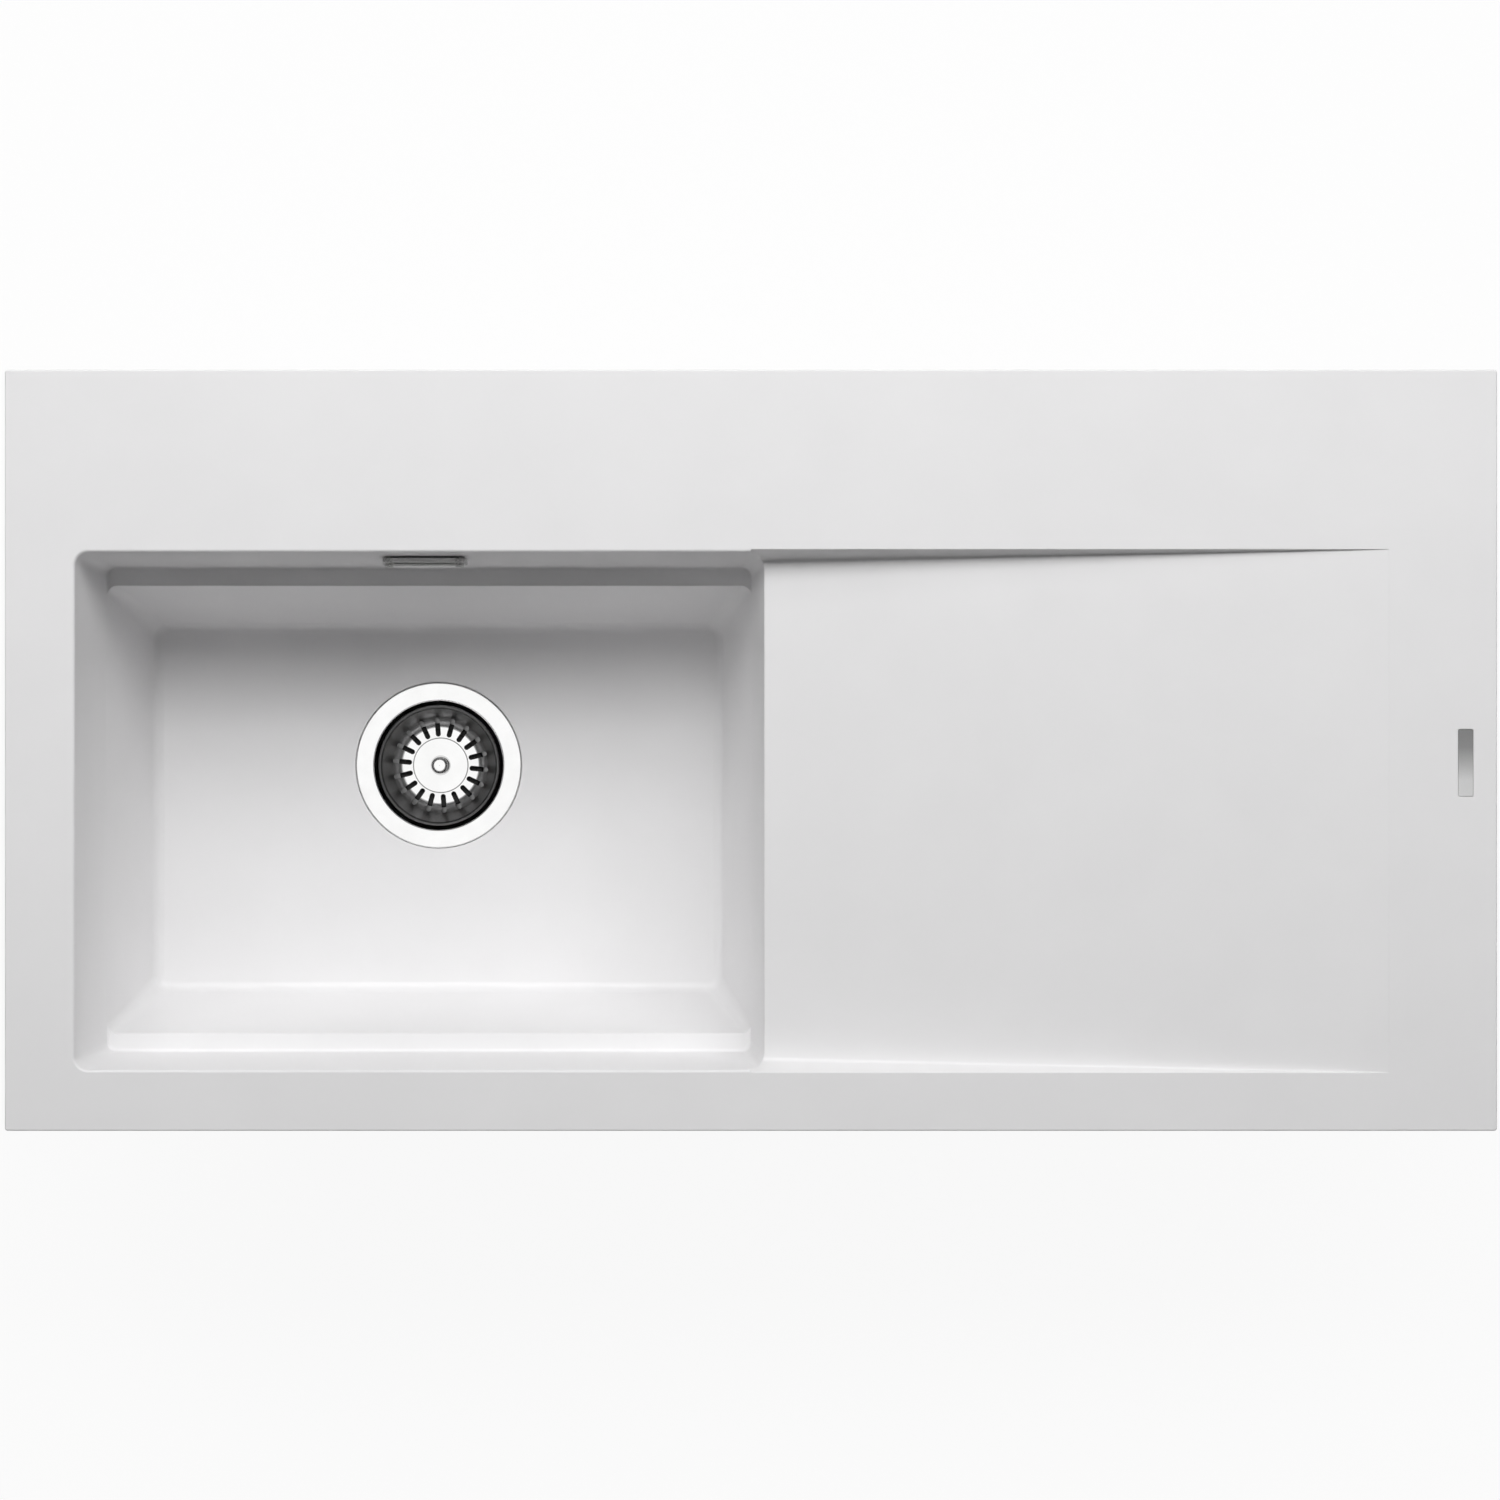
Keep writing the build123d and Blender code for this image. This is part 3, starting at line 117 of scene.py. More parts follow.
# Distance in millimetres, and the polish, painted shade, darkening or printed fade there.
# The steel's darker bands are painted shade and painted dark reflection, and stay dark under any light.
POLISH_AND_PAINTED_DARK_AT_RADIUS = ((0, 1), (26.6, 1), (28.0, 0), (45.1, 0), (45.4, 1), (60, 1))
PAINTED_SHADE_AT_RADIUS = (
    (0, 1), (4.2, 1), (4.6, 0.75), (7.0, 0.75), (7.2, 1), (18.9, 1), (19.1, 0.3), (19.5, 0.3), (19.7, 1),
    (39.8, 1), (40.2, 0.2), (40.8, 0.2), (41.2, 0.4), (43.4, 0.4), (45.2, 0.6), (45.5, 1), (60, 1)
)
COVER_END_DARKENING = ((0, 0), (20.5, 0), (22.0, 1), (40, 1))
PLATE_FADE = ((0, 0.24), (12, 0.28), (24, 0.50), (34, 0.72), (60, 0.80))

# The part of a noise texture's range that its colours and numbers are spread over.
NOISE_LOW = 0.3
NOISE_HIGH = 0.7


def new_material(name):
    """A node material with its Principled shader at hand."""
    material = bpy.data.materials.new(name)
    material.use_nodes = True
    tree = material.node_tree
    return material, tree, tree.nodes["Principled BSDF"]


def noise(tree, scale, detail=2.0, stretch=(1, 1, 1)):
    """A noise texture in the object's own metres; scale counts features per metre."""
    where = tree.nodes.new("ShaderNodeTexCoord")
    mapping = tree.nodes.new("ShaderNodeMapping")
    mapping.inputs["Scale"].default_value = stretch
    texture = tree.nodes.new("ShaderNodeTexNoise")
    texture.inputs["Scale"].default_value = scale
    texture.inputs["Detail"].default_value = detail
    tree.links.new(where.outputs["Object"], mapping.inputs["Vector"])
    tree.links.new(mapping.outputs["Vector"], texture.inputs["Vector"])
    return texture.outputs["Fac"]


def spread(tree, factor, low, high):
    """Turns a factor into a number between low and high."""
    node = tree.nodes.new("ShaderNodeMapRange")
    node.inputs["From Min"].default_value = NOISE_LOW
    node.inputs["From Max"].default_value = NOISE_HIGH
    node.inputs["To Min"].default_value = low
    node.inputs["To Max"].default_value = high
    tree.links.new(factor, node.inputs["Value"])
    return node.outputs["Result"]


def tint(tree, factor, dark, light):
    """Turns a factor into a colour between dark and light."""
    node = tree.nodes.new("ShaderNodeValToRGB")
    node.color_ramp.elements[0].position = NOISE_LOW
    node.color_ramp.elements[1].position = NOISE_HIGH
    node.color_ramp.elements[0].color = (*dark, 1)
    node.color_ramp.elements[1].color = (*light, 1)
    tree.links.new(factor, node.inputs["Fac"])
    return node.outputs["Color"]


def bump(tree, shader, height, distance, rounded=0.0):
    """Relief of a given depth in metres, over edges that look rounded to a radius."""
    node = tree.nodes.new("ShaderNodeBump")
    node.inputs["Distance"].default_value = distance
    tree.links.new(height, node.inputs["Height"])
    if rounded:
        bevel = tree.nodes.new("ShaderNodeBevel")
        bevel.samples = BEVEL_SAMPLES
        bevel.inputs["Radius"].default_value = rounded
        tree.links.new(bevel.outputs["Normal"], node.inputs["Normal"])
    tree.links.new(node.outputs["Normal"], shader.inputs["Normal"])


def larger(tree, first, second):
    """The larger of two numbers."""
    node = tree.nodes.new("ShaderNodeMath")
    node.operation = "MAXIMUM"
    tree.links.new(first, node.inputs[0])
    tree.links.new(second, node.inputs[1])
    return node.outputs[0]


def ranged(tree, value, from_min, from_max, to_min, to_max):
    """Maps a value from one range to another and holds it there."""
    node = tree.nodes.new("ShaderNodeMapRange")
    numbers = {"From Min": from_min, "From Max": from_max, "To Min": to_min, "To Max": to_max}
    for name, number in numbers.items():
        if isinstance(number, bpy.types.NodeSocket):
            tree.links.new(number, node.inputs[name])
        else:
            node.inputs[name].default_value = number
    tree.links.new(value, node.inputs["Value"])
    return node.outputs["Result"]


def glazed_ceramic():
    """Satin white with a faint cloud in its tone and a fine grain."""
    material, tree, shader = new_material("glazed_ceramic")
    cloud = noise(tree, 14, 3)
    grain = noise(tree, 900, 2)
    glaze = tint(tree, cloud, (0.865, 0.86, 0.865), (0.885, 0.88, 0.885))
    tree.links.new(glaze, shader.inputs["Base Color"])
    tree.links.new(spread(tree, grain, 0.30, 0.38), shader.inputs["Roughness"])
    shader.inputs["Specular IOR Level"].default_value = 0.45
    bump(tree, shader, grain, 0.02 * MM, rounded=0.9 * MM)
    return material


def apart(tree, place, axes):
    """A point's distance in millimetres from a place, measured along the given axes."""
    scale = tuple(axis / MM for axis in axes)
    where = tree.nodes.new("ShaderNodeTexCoord")
    point = tree.nodes.new("ShaderNodeVectorMath")
    point.operation = "MULTIPLY"
    point.inputs[1].default_value = scale
    tree.links.new(where.outputs["Object"], point.inputs[0])
    away = tree.nodes.new("ShaderNodeVectorMath")
    away.operation = "DISTANCE"
    away.inputs[1].default_value = tuple(a * b for a, b in zip(place, scale))
    tree.links.new(point.outputs["Vector"], away.inputs[0])
    return away.outputs["Value"]


def stepped(tree, distance, steps):
    """Grey levels at given distances, blended in between."""
    ramp = tree.nodes.new("ShaderNodeValToRGB")
    reach = steps[-1][0]
    ramp.color_ramp.elements.remove(ramp.color_ramp.elements[1])
    for step, level in steps:
        ramp.color_ramp.elements.new(step / reach).color = (level, level, level, 1)
    tree.links.new(ranged(tree, distance, 0, reach, 0, 1), ramp.inputs["Fac"])
    return ramp.outputs["Color"]


def blended(tree, factor, first, second, blend="MIX"):
    """One colour mixed into another."""
    mix = tree.nodes.new("ShaderNodeMix")
    mix.data_type = "RGBA"
    mix.blend_type = blend
    for name, value in (("Factor", factor), ("A", first), ("B", second)):
        if isinstance(value, float):
            mix.inputs[name].default_value = value
        else:
            tree.links.new(value, mix.inputs[name])
    return mix.outputs["Result"]


def white_moulding():
    """White plastic, darker and mottled at the two ends of the overflow's cover."""
    material, tree, shader = new_material("white_moulding")
    mottle = noise(tree, 700, 3)
    grain = noise(tree, 2500, 2)
    even_white = tint(tree, mottle, (0.90, 0.90, 0.89), (0.96, 0.96, 0.95))
    # The cover's two ends, beyond 22 mm from its middle, are coloured darker and mottled.
    darker_ends = tint(tree, mottle, (0.42, 0.42, 0.41), (0.86, 0.86, 0.85))
    ends = stepped(tree, apart(tree, COVER_CENTRE, (1, 0, 0)), COVER_END_DARKENING)
    tree.links.new(blended(tree, ends, even_white, darker_ends), shader.inputs["Base Color"])
    tree.links.new(spread(tree, grain, 0.28, 0.42), shader.inputs["Roughness"])
    bump(tree, shader, grain, 0.02 * MM, rounded=1.0 * MM)
    return material


def polished_steel():
    """Mirror bright on the flange and the basket's floor, brushed and darker in between, with painted dark
    reflection and rings of painted shade.
    """
    material, tree, shader = new_material("polished_steel")
    shader.inputs["Metallic"].default_value = 1.0
    cloud = noise(tree, 60, 3)
    scratches = noise(tree, 900, 4, stretch=(1, 6, 1))
    radius = apart(tree, DRAIN_CENTRE, (1, 1, 0))
    polish_and_painted_dark = stepped(tree, radius, POLISH_AND_PAINTED_DARK_AT_RADIUS)
    bright = tint(tree, cloud, (0.93, 0.93, 0.925), (0.98, 0.98, 0.975))
    # The brushed band's rougher finish is real; its darker colour is partly painted dark reflection where
    # the basket's wall curves.
    brushed = tint(tree, scratches, (0.36, 0.36, 0.36), (0.56, 0.56, 0.56))
    steel = blended(tree, polish_and_painted_dark, brushed, bright)
    # Painted shade and painted dark reflection in rings: at the knob, round the basket's disc and at its
    # rim.
    painted_shade_steel = blended(tree, 1.0, steel, stepped(tree, radius, PAINTED_SHADE_AT_RADIUS), "MULTIPLY")
    tree.links.new(painted_shade_steel, shader.inputs["Base Color"])
    fine = spread(tree, scratches, 0.05, 0.11)
    tree.links.new(ranged(tree, polish_and_painted_dark, 0, 1, BRUSHED_ROUGHNESS, fine), shader.inputs["Roughness"])
    bump(tree, shader, scratches, 0.004 * MM, rounded=STEEL_EDGE_ROUND)
    return material


def faded_plate():
    """The blank plate, printed with a plain fade that is dark at the rear."""
    material, tree, shader = new_material("faded_plate")
    shader.inputs["Metallic"].default_value = 0.1
    grain = noise(tree, 1800, 3, stretch=(6, 1, 1))
    fade = stepped(tree, apart(tree, PLATE_REAR, (0, 1, 0)), PLATE_FADE)
    brushed = tint(tree, grain, (0.88, 0.88, 0.88), (1.0, 1.0, 1.0))
    tree.links.new(blended(tree, 1.0, brushed, fade, "MULTIPLY"), shader.inputs["Base Color"])
    tree.links.new(spread(tree, grain, 0.30, 0.42), shader.inputs["Roughness"])
    bump(tree, shader, grain, 0.006 * MM, rounded=0.4 * MM)
    return material


def satin_steel(name, dark, light, rough, scale):
    """A brushed or plated metal whose tone and gloss vary in small clouds."""
    material, tree, shader = new_material(name)
    shader.inputs["Metallic"].default_value = 1.0
    cloud = noise(tree, scale, 4)
    grain = noise(tree, 3000, 2)
    tree.links.new(tint(tree, cloud, dark, light), shader.inputs["Base Color"])
    tree.links.new(spread(tree, cloud, rough - 0.06, rough + 0.08), shader.inputs["Roughness"])
    bump(tree, shader, grain, 0.01 * MM)
    return material


def moulded_plastic(name, dark, light, rough):
    """Matt plastic with a faint cloud and a moulded grain."""
    material, tree, shader = new_material(name)
    cloud = noise(tree, 40, 3)
    grain = noise(tree, 1800, 2)
    tree.links.new(tint(tree, cloud, dark, light), shader.inputs["Base Color"])
    tree.links.new(spread(tree, grain, rough - 0.05, rough + 0.07), shader.inputs["Roughness"])
    bump(tree, shader, grain, 0.03 * MM)
    return material


def rubber(name, dark, light, cells, depth):
    """Dull rubber or foam with pits of a given count to the metre and depth."""
    material, tree, shader = new_material(name)
    cloud = noise(tree, cells, 3)
    tree.links.new(tint(tree, cloud, dark, light), shader.inputs["Base Color"])
    tree.links.new(spread(tree, cloud, 0.62, 0.8), shader.inputs["Roughness"])
    bump(tree, shader, cloud, depth)
    return material


MATERIALS = {
    "sink_ceramic": glazed_ceramic(),
    "cover_white": white_moulding(),
    "steel_polished": polished_steel(),
    "steel_satin": satin_steel("steel_satin", (0.50, 0.50, 0.49), (0.60, 0.60, 0.59), 0.26, 90),
    "steel_zinc": satin_steel("steel_zinc", (0.48, 0.50, 0.52), (0.66, 0.67, 0.66), 0.34, 160),
    "brass": satin_steel("brass", (0.62, 0.44, 0.18), (0.74, 0.56, 0.28), 0.30, 120),
    "fitting_plastic": moulded_plastic("fitting_plastic", (0.70, 0.70, 0.68), (0.75, 0.75, 0.73), 0.42),
    "nut_plastic": moulded_plastic("nut_plastic", (0.62, 0.62, 0.60), (0.68, 0.68, 0.66), 0.46),
    "hose_plastic": moulded_plastic("hose_plastic", (0.44, 0.45, 0.46), (0.50, 0.51, 0.52), 0.38),
    "seal_rubber": rubber("seal_rubber", (0.012, 0.012, 0.012), (0.03, 0.03, 0.03), 700, 0.05 * MM),
    "seal_foam": rubber("seal_foam", (0.10, 0.10, 0.10), (0.16, 0.16, 0.16), 1400, 0.2 * MM),
}

# A node whose look differs from the rest of its slot.
OWN_LOOK = {"badge_plate": faded_plate()}

SLOT_OF = {row["node"]: row["material_slot"] for row in frame["record"]["subparts"]}
for node, piece in frame["nodes"].items():
    piece.data.materials.clear()
    piece.data.materials.append(OWN_LOOK.get(node, MATERIALS[SLOT_OF[node]]))


# ---- Mesh making: outlines, turned forms and bars, in local millimetres ----
SHARP_ANGLE = 35
ROUND_STEPS = 5
TURNED_SEGMENTS = 96
THREAD_SEGMENTS = 32
THREAD_ROWS = 6
THREAD_CREST_SHARE = 0.8


def rounded(corners):
    """A closed outline whose corners (x, y, radius) are turned into arcs."""
    outline = []
    for index, (x, y, radius) in enumerate(corners):
        corner = Vector((x, y))
        if not radius:
            outline.append(corner)
            continue
        before = (Vector(corners[index - 1][:2]) - corner).normalized()
        after = (Vector(corners[(index + 1) % len(corners)][:2]) - corner).normalized()
        half = before.angle(after) / 2
        inward = (before + after).normalized() / math.sin(half)
        start = (before / math.tan(half) - inward).normalized()
        end = (after / math.tan(half) - inward).normalized()
        for step in range(ROUND_STEPS + 1):
            outline.append(corner + radius * (inward + start.slerp(end, step / ROUND_STEPS)))
    return outline


def plan(length, width, radius):
    """A rounded rectangle about its middle."""
    x, y = length / 2, width / 2
    return rounded([(x, -y, radius), (x, y, radius), (-x, y, radius), (-x, -y, radius)])


def skin(shape, place, rings, closed=False, capped=True):
    """Joins rings of local points with faces: the last to the first, or each end capped or open."""
    rows = [[shape.verts.new(place @ Vector(point)) for point in ring] for ring in rings]
    following = rows[1:] + rows[:1] if closed else rows[1:]
    for row, after in zip(rows, following):
        for index in range(len(row)):
            shape.faces.new((row[index - 1], row[index], after[index], after[index - 1]))
    if capped and not closed:
        shape.faces.new(rows[0][::-1])
        shape.faces.new(rows[-1])


def circle(radius, height, segments):
    """Points of a level circle."""
    steps = [2 * math.pi * step / segments for step in range(segments)]
    return [(radius * math.cos(angle), radius * math.sin(angle), height) for angle in steps]


def turned(shape, place, outline, segments=TURNED_SEGMENTS):
    """Turns a closed outline of (radius, height) about the local Z axis."""
    skin(shape, place, [circle(x, y, segments) for x, y in outline], closed=True)


def prism(shape, place, outline, bottom, top):
    """A plate or bar with a given outline between two heights."""
    skin(shape, place, [[(x, y, z) for x, y in outline] for z in (bottom, top)])


def screw_thread(shape, place, root, crest, pitch, bottom, top, segments=THREAD_SEGMENTS):
    """A screw thread whose ridge winds up the local Z axis and fades in and out."""
    rows = math.ceil((top - bottom) / pitch * THREAD_ROWS)
    rings = []
    for row in range(rows + 1):
        height = bottom + (top - bottom) * row / rows
        fade = max(0, min(1, (height - bottom) / pitch, (top - height) / pitch))
        ring = []
        for step in range(segments):
            turn = step / segments
            ridge = 1 - abs(2 * ((height / pitch - turn) % 1) - 1)
            reach = root + (crest - root) * fade * min(1, ridge / THREAD_CREST_SHARE)
            angle = 2 * math.pi * turn
            ring.append((reach * math.cos(angle), reach * math.sin(angle), height))
        rings.append(ring)
    skin(shape, place, rings, capped=False)


def stand_in(node, shape, body="root", edge=0.0):
    """Finishes a shape as the detailed form of a CAD node, in that node's material."""
    mesh = bpy.data.meshes.new(node + "_form")
    bmesh.ops.recalc_face_normals(shape, faces=shape.faces)
    shape.to_mesh(mesh)
    shape.free()
    mesh.shade_smooth()
    mesh.set_sharp_from_angle(angle=math.radians(SHARP_ANGLE))
    mesh.materials.append(MATERIALS[SLOT_OF[node]])
    piece = bpy.data.objects.new(node + "_form", mesh)
    bpy.context.scene.collection.objects.link(piece)
    if edge:
        bevel = piece.modifiers.new("edge", "BEVEL")
        bevel.width = edge * MM
        bevel.segments = 2
        bevel.limit_method = "ANGLE"
        bevel.angle_limit = math.radians(SHARP_ANGLE)
        bevel.harden_normals = True
    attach(piece, body)
    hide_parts(node)


def at(x, y, z, turn=None):
    """Local millimetres with their origin at a place in the frame, turned if need be."""
    turn = turn or Matrix.Identity(4)
    return Matrix.Translation((x, y, z)) @ turn @ Matrix.Scale(MM, 4)


def middle(node):
    """The middle of a node's box."""
    low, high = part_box(node)
    return (low + high) / 2


def size(node):
    """A node's length, width and height in millimetres."""
    low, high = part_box(node)
    return (high - low) / MM


def drain(node):
    """Local millimetres about the drain's axis, from a node's underside."""
    return at(DRAIN_X, DRAIN_Y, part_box(node)[0].z)


# ---- Seals: foam under the rim, rubber round the waste and the overflow ----
SEAL_STRIP = 8.0
SEAL_CORNER = 2.0
RUBBER_ROUND = 0.7
SOFT_EDGE_SHARE = 0.45
UPPER_TAPER = 7.5
LEDGE_DEPTH = 86.0
WALL_LEAN = math.atan2(UPPER_TAPER, LEDGE_DEPTH)
OVERFLOW_SLOT = (38.0, 9.0)
SLOT_END_SHARE = 0.49
GASKET_CORNER = 3.0
WASHER_BORE = 8.0
DRAIN_HOLE_RADIUS = 48.0
FLANGE_SEAT_GAP = 0.5

wall_turn = Matrix.Rotation(math.pi / 2 - WALL_LEAN, 4, "X")


def make_rim_seal():
    """A foam strip that runs round under the rim."""
    length, width, thickness = size("rim_seal")
    section = rounded([
        (0, 0, RUBBER_ROUND),
        (SEAL_STRIP, 0, RUBBER_ROUND),
        (SEAL_STRIP, thickness, RUBBER_ROUND / 2),
        (0, thickness, RUBBER_ROUND / 2),
    ])
    rings = []
    for inset, height in section:
        outline = plan(length - 2 * inset, width - 2 * inset, SEAL_CORNER)
        rings.append([(x, y, height) for x, y in outline])
    low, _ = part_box("rim_seal")
    centre = middle("rim_seal")
    shape = bmesh.new()
    skin(shape, at(centre.x, centre.y, low.z), rings, closed=True)
    stand_in("rim_seal", shape)


def washer(shape, place, inner, outer, thickness):
    """A flat rubber ring with soft edges."""
    soft = min(RUBBER_ROUND, SOFT_EDGE_SHARE * thickness)
    turned(shape, place, rounded([
        (inner, 0, soft),
        (outer, 0, soft),
        (outer, thickness, soft),
        (inner, thickness, soft),
    ]))


def make_drain_gasket(node, inner):
    """A flat ring between the bowl's floor and the flange above it or the body below it."""
    shape = bmesh.new()
    washer(shape, drain(node), inner, size(node).x / 2, size(node).z)
    stand_in(node, shape)


def make_overflow_gasket():
    """A flat gasket round the overflow's slot, with a soft outer edge."""
    length, depth, height = size("overflow_gasket")
    lean = WALL_LEAN
    thickness = (depth * math.cos(lean) - height * math.sin(lean)) / math.cos(2 * lean)
    across = (height * math.cos(lean) - depth * math.sin(lean)) / math.cos(2 * lean)
    half = thickness / 2
    soft = SOFT_EDGE_SHARE * thickness
    rings = []
    for inset, level in rounded([(soft, -half, 0), (0, -half, soft), (0, half, soft), (soft, half, 0)]):
        outline = plan(length - 2 * inset, across - 2 * inset, GASKET_CORNER)
        rings.append([(x, y, level) for x, y in outline])
    slot = plan(*OVERFLOW_SLOT, OVERFLOW_SLOT[1] * SLOT_END_SHARE)
    rings += [[(x, y, level) for x, y in slot] for level in (half, -half)]
    shape = bmesh.new()
    skin(shape, at(*middle("overflow_gasket"), wall_turn), rings, closed=True)
    stand_in("overflow_gasket", shape)


# ---- Ribbed overflow hose with its collars, washers and union nuts ----
HOSE_RIB_PITCH = 4.2
HOSE_VALLEY_RADIUS = 10.0
HOSE_CREST_RADIUS = 12.2
HOSE_BORE_RADIUS = 8.0
HOSE_COLLAR_RADIUS = 12.6
HOSE_COLLAR_THICKNESS = 2.5
HOSE_CUFF_LENGTH = 26.0
HOSE_BEND_RADIUS = 60.0
HOSE_SEGMENTS = 48
BORE_STEPS = 40
RIB_STEPS = 12
RIB_FOOT_SHARE = 0.1
RIB_FLANK_SHARE = 0.2
WASHER_THICKNESS = 1.5

hose_low, hose_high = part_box("overflow_hose")
HOSE_TOP = Vector((DRAIN_X, hose_high.y - HOSE_COLLAR_RADIUS * MM, hose_high.z))
HOSE_FOOT = Vector((DRAIN_X, hose_low.y, hose_low.z + HOSE_COLLAR_RADIUS * MM))
hose_drop = (HOSE_TOP.z - HOSE_FOOT.z) / MM - HOSE_BEND_RADIUS
hose_run = (HOSE_TOP.y - HOSE_FOOT.y) / MM - HOSE_BEND_RADIUS
hose_bend = HOSE_BEND_RADIUS * math.pi / 2
hose_length = hose_drop + hose_bend + hose_run


def hose_place(distance):
    """Local millimetres on the hose's centre line, with Z along it, at a distance from its top."""
    turn = min(max((distance - hose_drop) / HOSE_BEND_RADIUS, 0), math.pi / 2)
    straight = max(distance - hose_drop - hose_bend, 0)
    back = HOSE_BEND_RADIUS * (1 - math.cos(turn)) + straight
    down = min(distance, hose_drop) + HOSE_BEND_RADIUS * math.sin(turn)
    spot = HOSE_TOP + Vector((0, -back * MM, -down * MM))
    return at(*spot, Matrix.Rotation(math.pi - turn, 4, "X"))


def rib_radius(share):
    """The hose's outer radius at a share of one rib's pitch."""
    rise = (min(share, 1 - share) - RIB_FOOT_SHARE) / RIB_FLANK_SHARE
    rise = min(max(rise, 0), 1)
    rise = rise * rise * (3 - 2 * rise)
    return HOSE_VALLEY_RADIUS + (HOSE_CREST_RADIUS - HOSE_VALLEY_RADIUS) * rise


def hose_stations():
    """The hose's outer radius at distances along it: collar, cuff, ribs, cuff and collar."""
    ribbed = hose_length - 2 * HOSE_CUFF_LENGTH
    count = math.floor(ribbed / HOSE_RIB_PITCH)
    pitch = ribbed / count
    collar = [(0, HOSE_COLLAR_RADIUS), (HOSE_COLLAR_THICKNESS, HOSE_COLLAR_RADIUS)]
    collar.append((HOSE_COLLAR_THICKNESS, HOSE_VALLEY_RADIUS))
    ribs = []
    for step in range(count * RIB_STEPS + 1):
        ribs.append((HOSE_CUFF_LENGTH + pitch * step / RIB_STEPS, rib_radius(step / RIB_STEPS % 1)))
    return collar + ribs + [(hose_length - distance, radius) for distance, radius in collar[::-1]]


def make_hose():
    """The ribbed hose with its bore, collared at both ends."""
    outside = hose_stations()
    bore = [(hose_length * step / BORE_STEPS, HOSE_BORE_RADIUS) for step in range(BORE_STEPS, -1, -1)]
    rings = []
    for distance, radius in outside + bore:
        place = hose_place(distance)
        rings.append([place @ Vector(point) for point in circle(radius, 0, HOSE_SEGMENTS)])
    shape = bmesh.new()
    skin(shape, Matrix.Identity(4), rings, closed=True)
    stand_in("overflow_hose", shape)


def make_hose_washers():
    """The two flat washers between the hose's collars and the spigots."""
    shape = bmesh.new()
    for place in (hose_place(0), hose_place(hose_length + WASHER_THICKNESS)):
        top = place @ Matrix.Translation((0, 0, -WASHER_THICKNESS))
        washer(shape, top, WASHER_BORE, HOSE_COLLAR_RADIUS, WASHER_THICKNESS)
    stand_in("hose_washers", shape)


NUT_LIP = 3.0
NUT_RIB_COUNT = 16
NUT_RIB_RADIUS = 1.1
NUT_WALL = 3.2
NUT_BORE_RADIUS = 14.2
NUT_GRIP = 13.0
NUT_EDGE = 0.8
NUT_HOSE_GAP = 0.2
NUT_RIB_STEPS = 14


def ribbed_circle(radius, height, rise):
    """A level circle with round grip ribs that stand out by a share of their full height."""
    ring = []
    for step in range(NUT_RIB_COUNT * NUT_RIB_STEPS):
        angle = 2 * math.pi * step / (NUT_RIB_COUNT * NUT_RIB_STEPS)
        share = (step / NUT_RIB_STEPS + 0.5) % 1 - 0.5
        offset = share * 2 * math.pi / NUT_RIB_COUNT * radius
        reach = radius + rise * math.sqrt(max(NUT_RIB_RADIUS**2 - offset**2, 0))
        ring.append((reach * math.cos(angle), reach * math.sin(angle), height))
    return ring


def make_nut(node, lip_place):
    """A union nut from its lip, at height 0, to its open end."""
    segments = NUT_RIB_COUNT * NUT_RIB_STEPS
    outer = NUT_BORE_RADIUS + NUT_WALL
    collar = WASHER_THICKNESS + HOSE_COLLAR_THICKNESS
    length = NUT_LIP + collar + NUT_GRIP
    hose_hole = HOSE_VALLEY_RADIUS + NUT_HOSE_GAP
    rings = [circle(hose_hole, 0, segments), circle(outer - NUT_EDGE, 0, segments)]
    lip_end = ((NUT_EDGE, 0), (2 * NUT_EDGE, 1))
    open_end = ((length - 2 * NUT_EDGE, 1), (length - NUT_EDGE, 0))
    for height, rise in lip_end + open_end:
        rings.append(ribbed_circle(outer, height, rise))
    rings.append(circle(outer - NUT_EDGE, length, segments))
    rings.append(circle(NUT_BORE_RADIUS, length, segments))
    rings.append(circle(NUT_BORE_RADIUS, NUT_LIP, segments))
    rings.append(circle(hose_hole, NUT_LIP, segments))
    shape = bmesh.new()
    skin(shape, lip_place, rings, closed=True)
    stand_in(node, shape)


# ---- Waste body: flanged chamber with gussets, threaded outlet, ribs and hub inside ----
BODY_FLANGE_THICKNESS = 5.0
BODY_RADIUS = 51.5
BODY_WALL = 3.0
BODY_BELOW_TOP = 52.0
BODY_CONE_HEIGHT = 12.0
OUTLET_RADIUS = 23.9
OUTLET_THREAD_ROOT = 22.6
OUTLET_THREAD_PITCH = 2.3
OUTLET_WALL = 3.0
GUSSET_COUNT = 8
GUSSET_THICKNESS = 2.4
GUSSET_HEIGHT = 16.0
SPIGOT_RADIUS = 14.0
SPIGOT_COLLAR_RADIUS = 17.0
INLET_REACH = 76.0
HUB_RADIUS = 9.0
HUB_HEIGHT = 16.0
HUB_RIB_COUNT = 3
HUB_RIB_THICKNESS = 3.5
HUB_RIB_CORNER = 0.6
HUB_SEGMENTS = 64
BODY_SEGMENTS = 144
OUTLET_SEGMENTS = 120
MOULDED_EDGE = 0.4
TOP_EDGE = 0.5
OUTER_EDGE = 0.8
INNER_ROUND = 2.0
CONE_ROUND = 4.0
OUTLET_SHOULDER = 3.0
OUTLET_SHOULDER_ROUND = 1.5
THREAD_CLEAR = 1.0
THREAD_SUNK = 0.05
SPIGOT_COLLAR_LENGTH = 2.5
GUSSET_SET_IN = 1.5
SUNK = 1.0


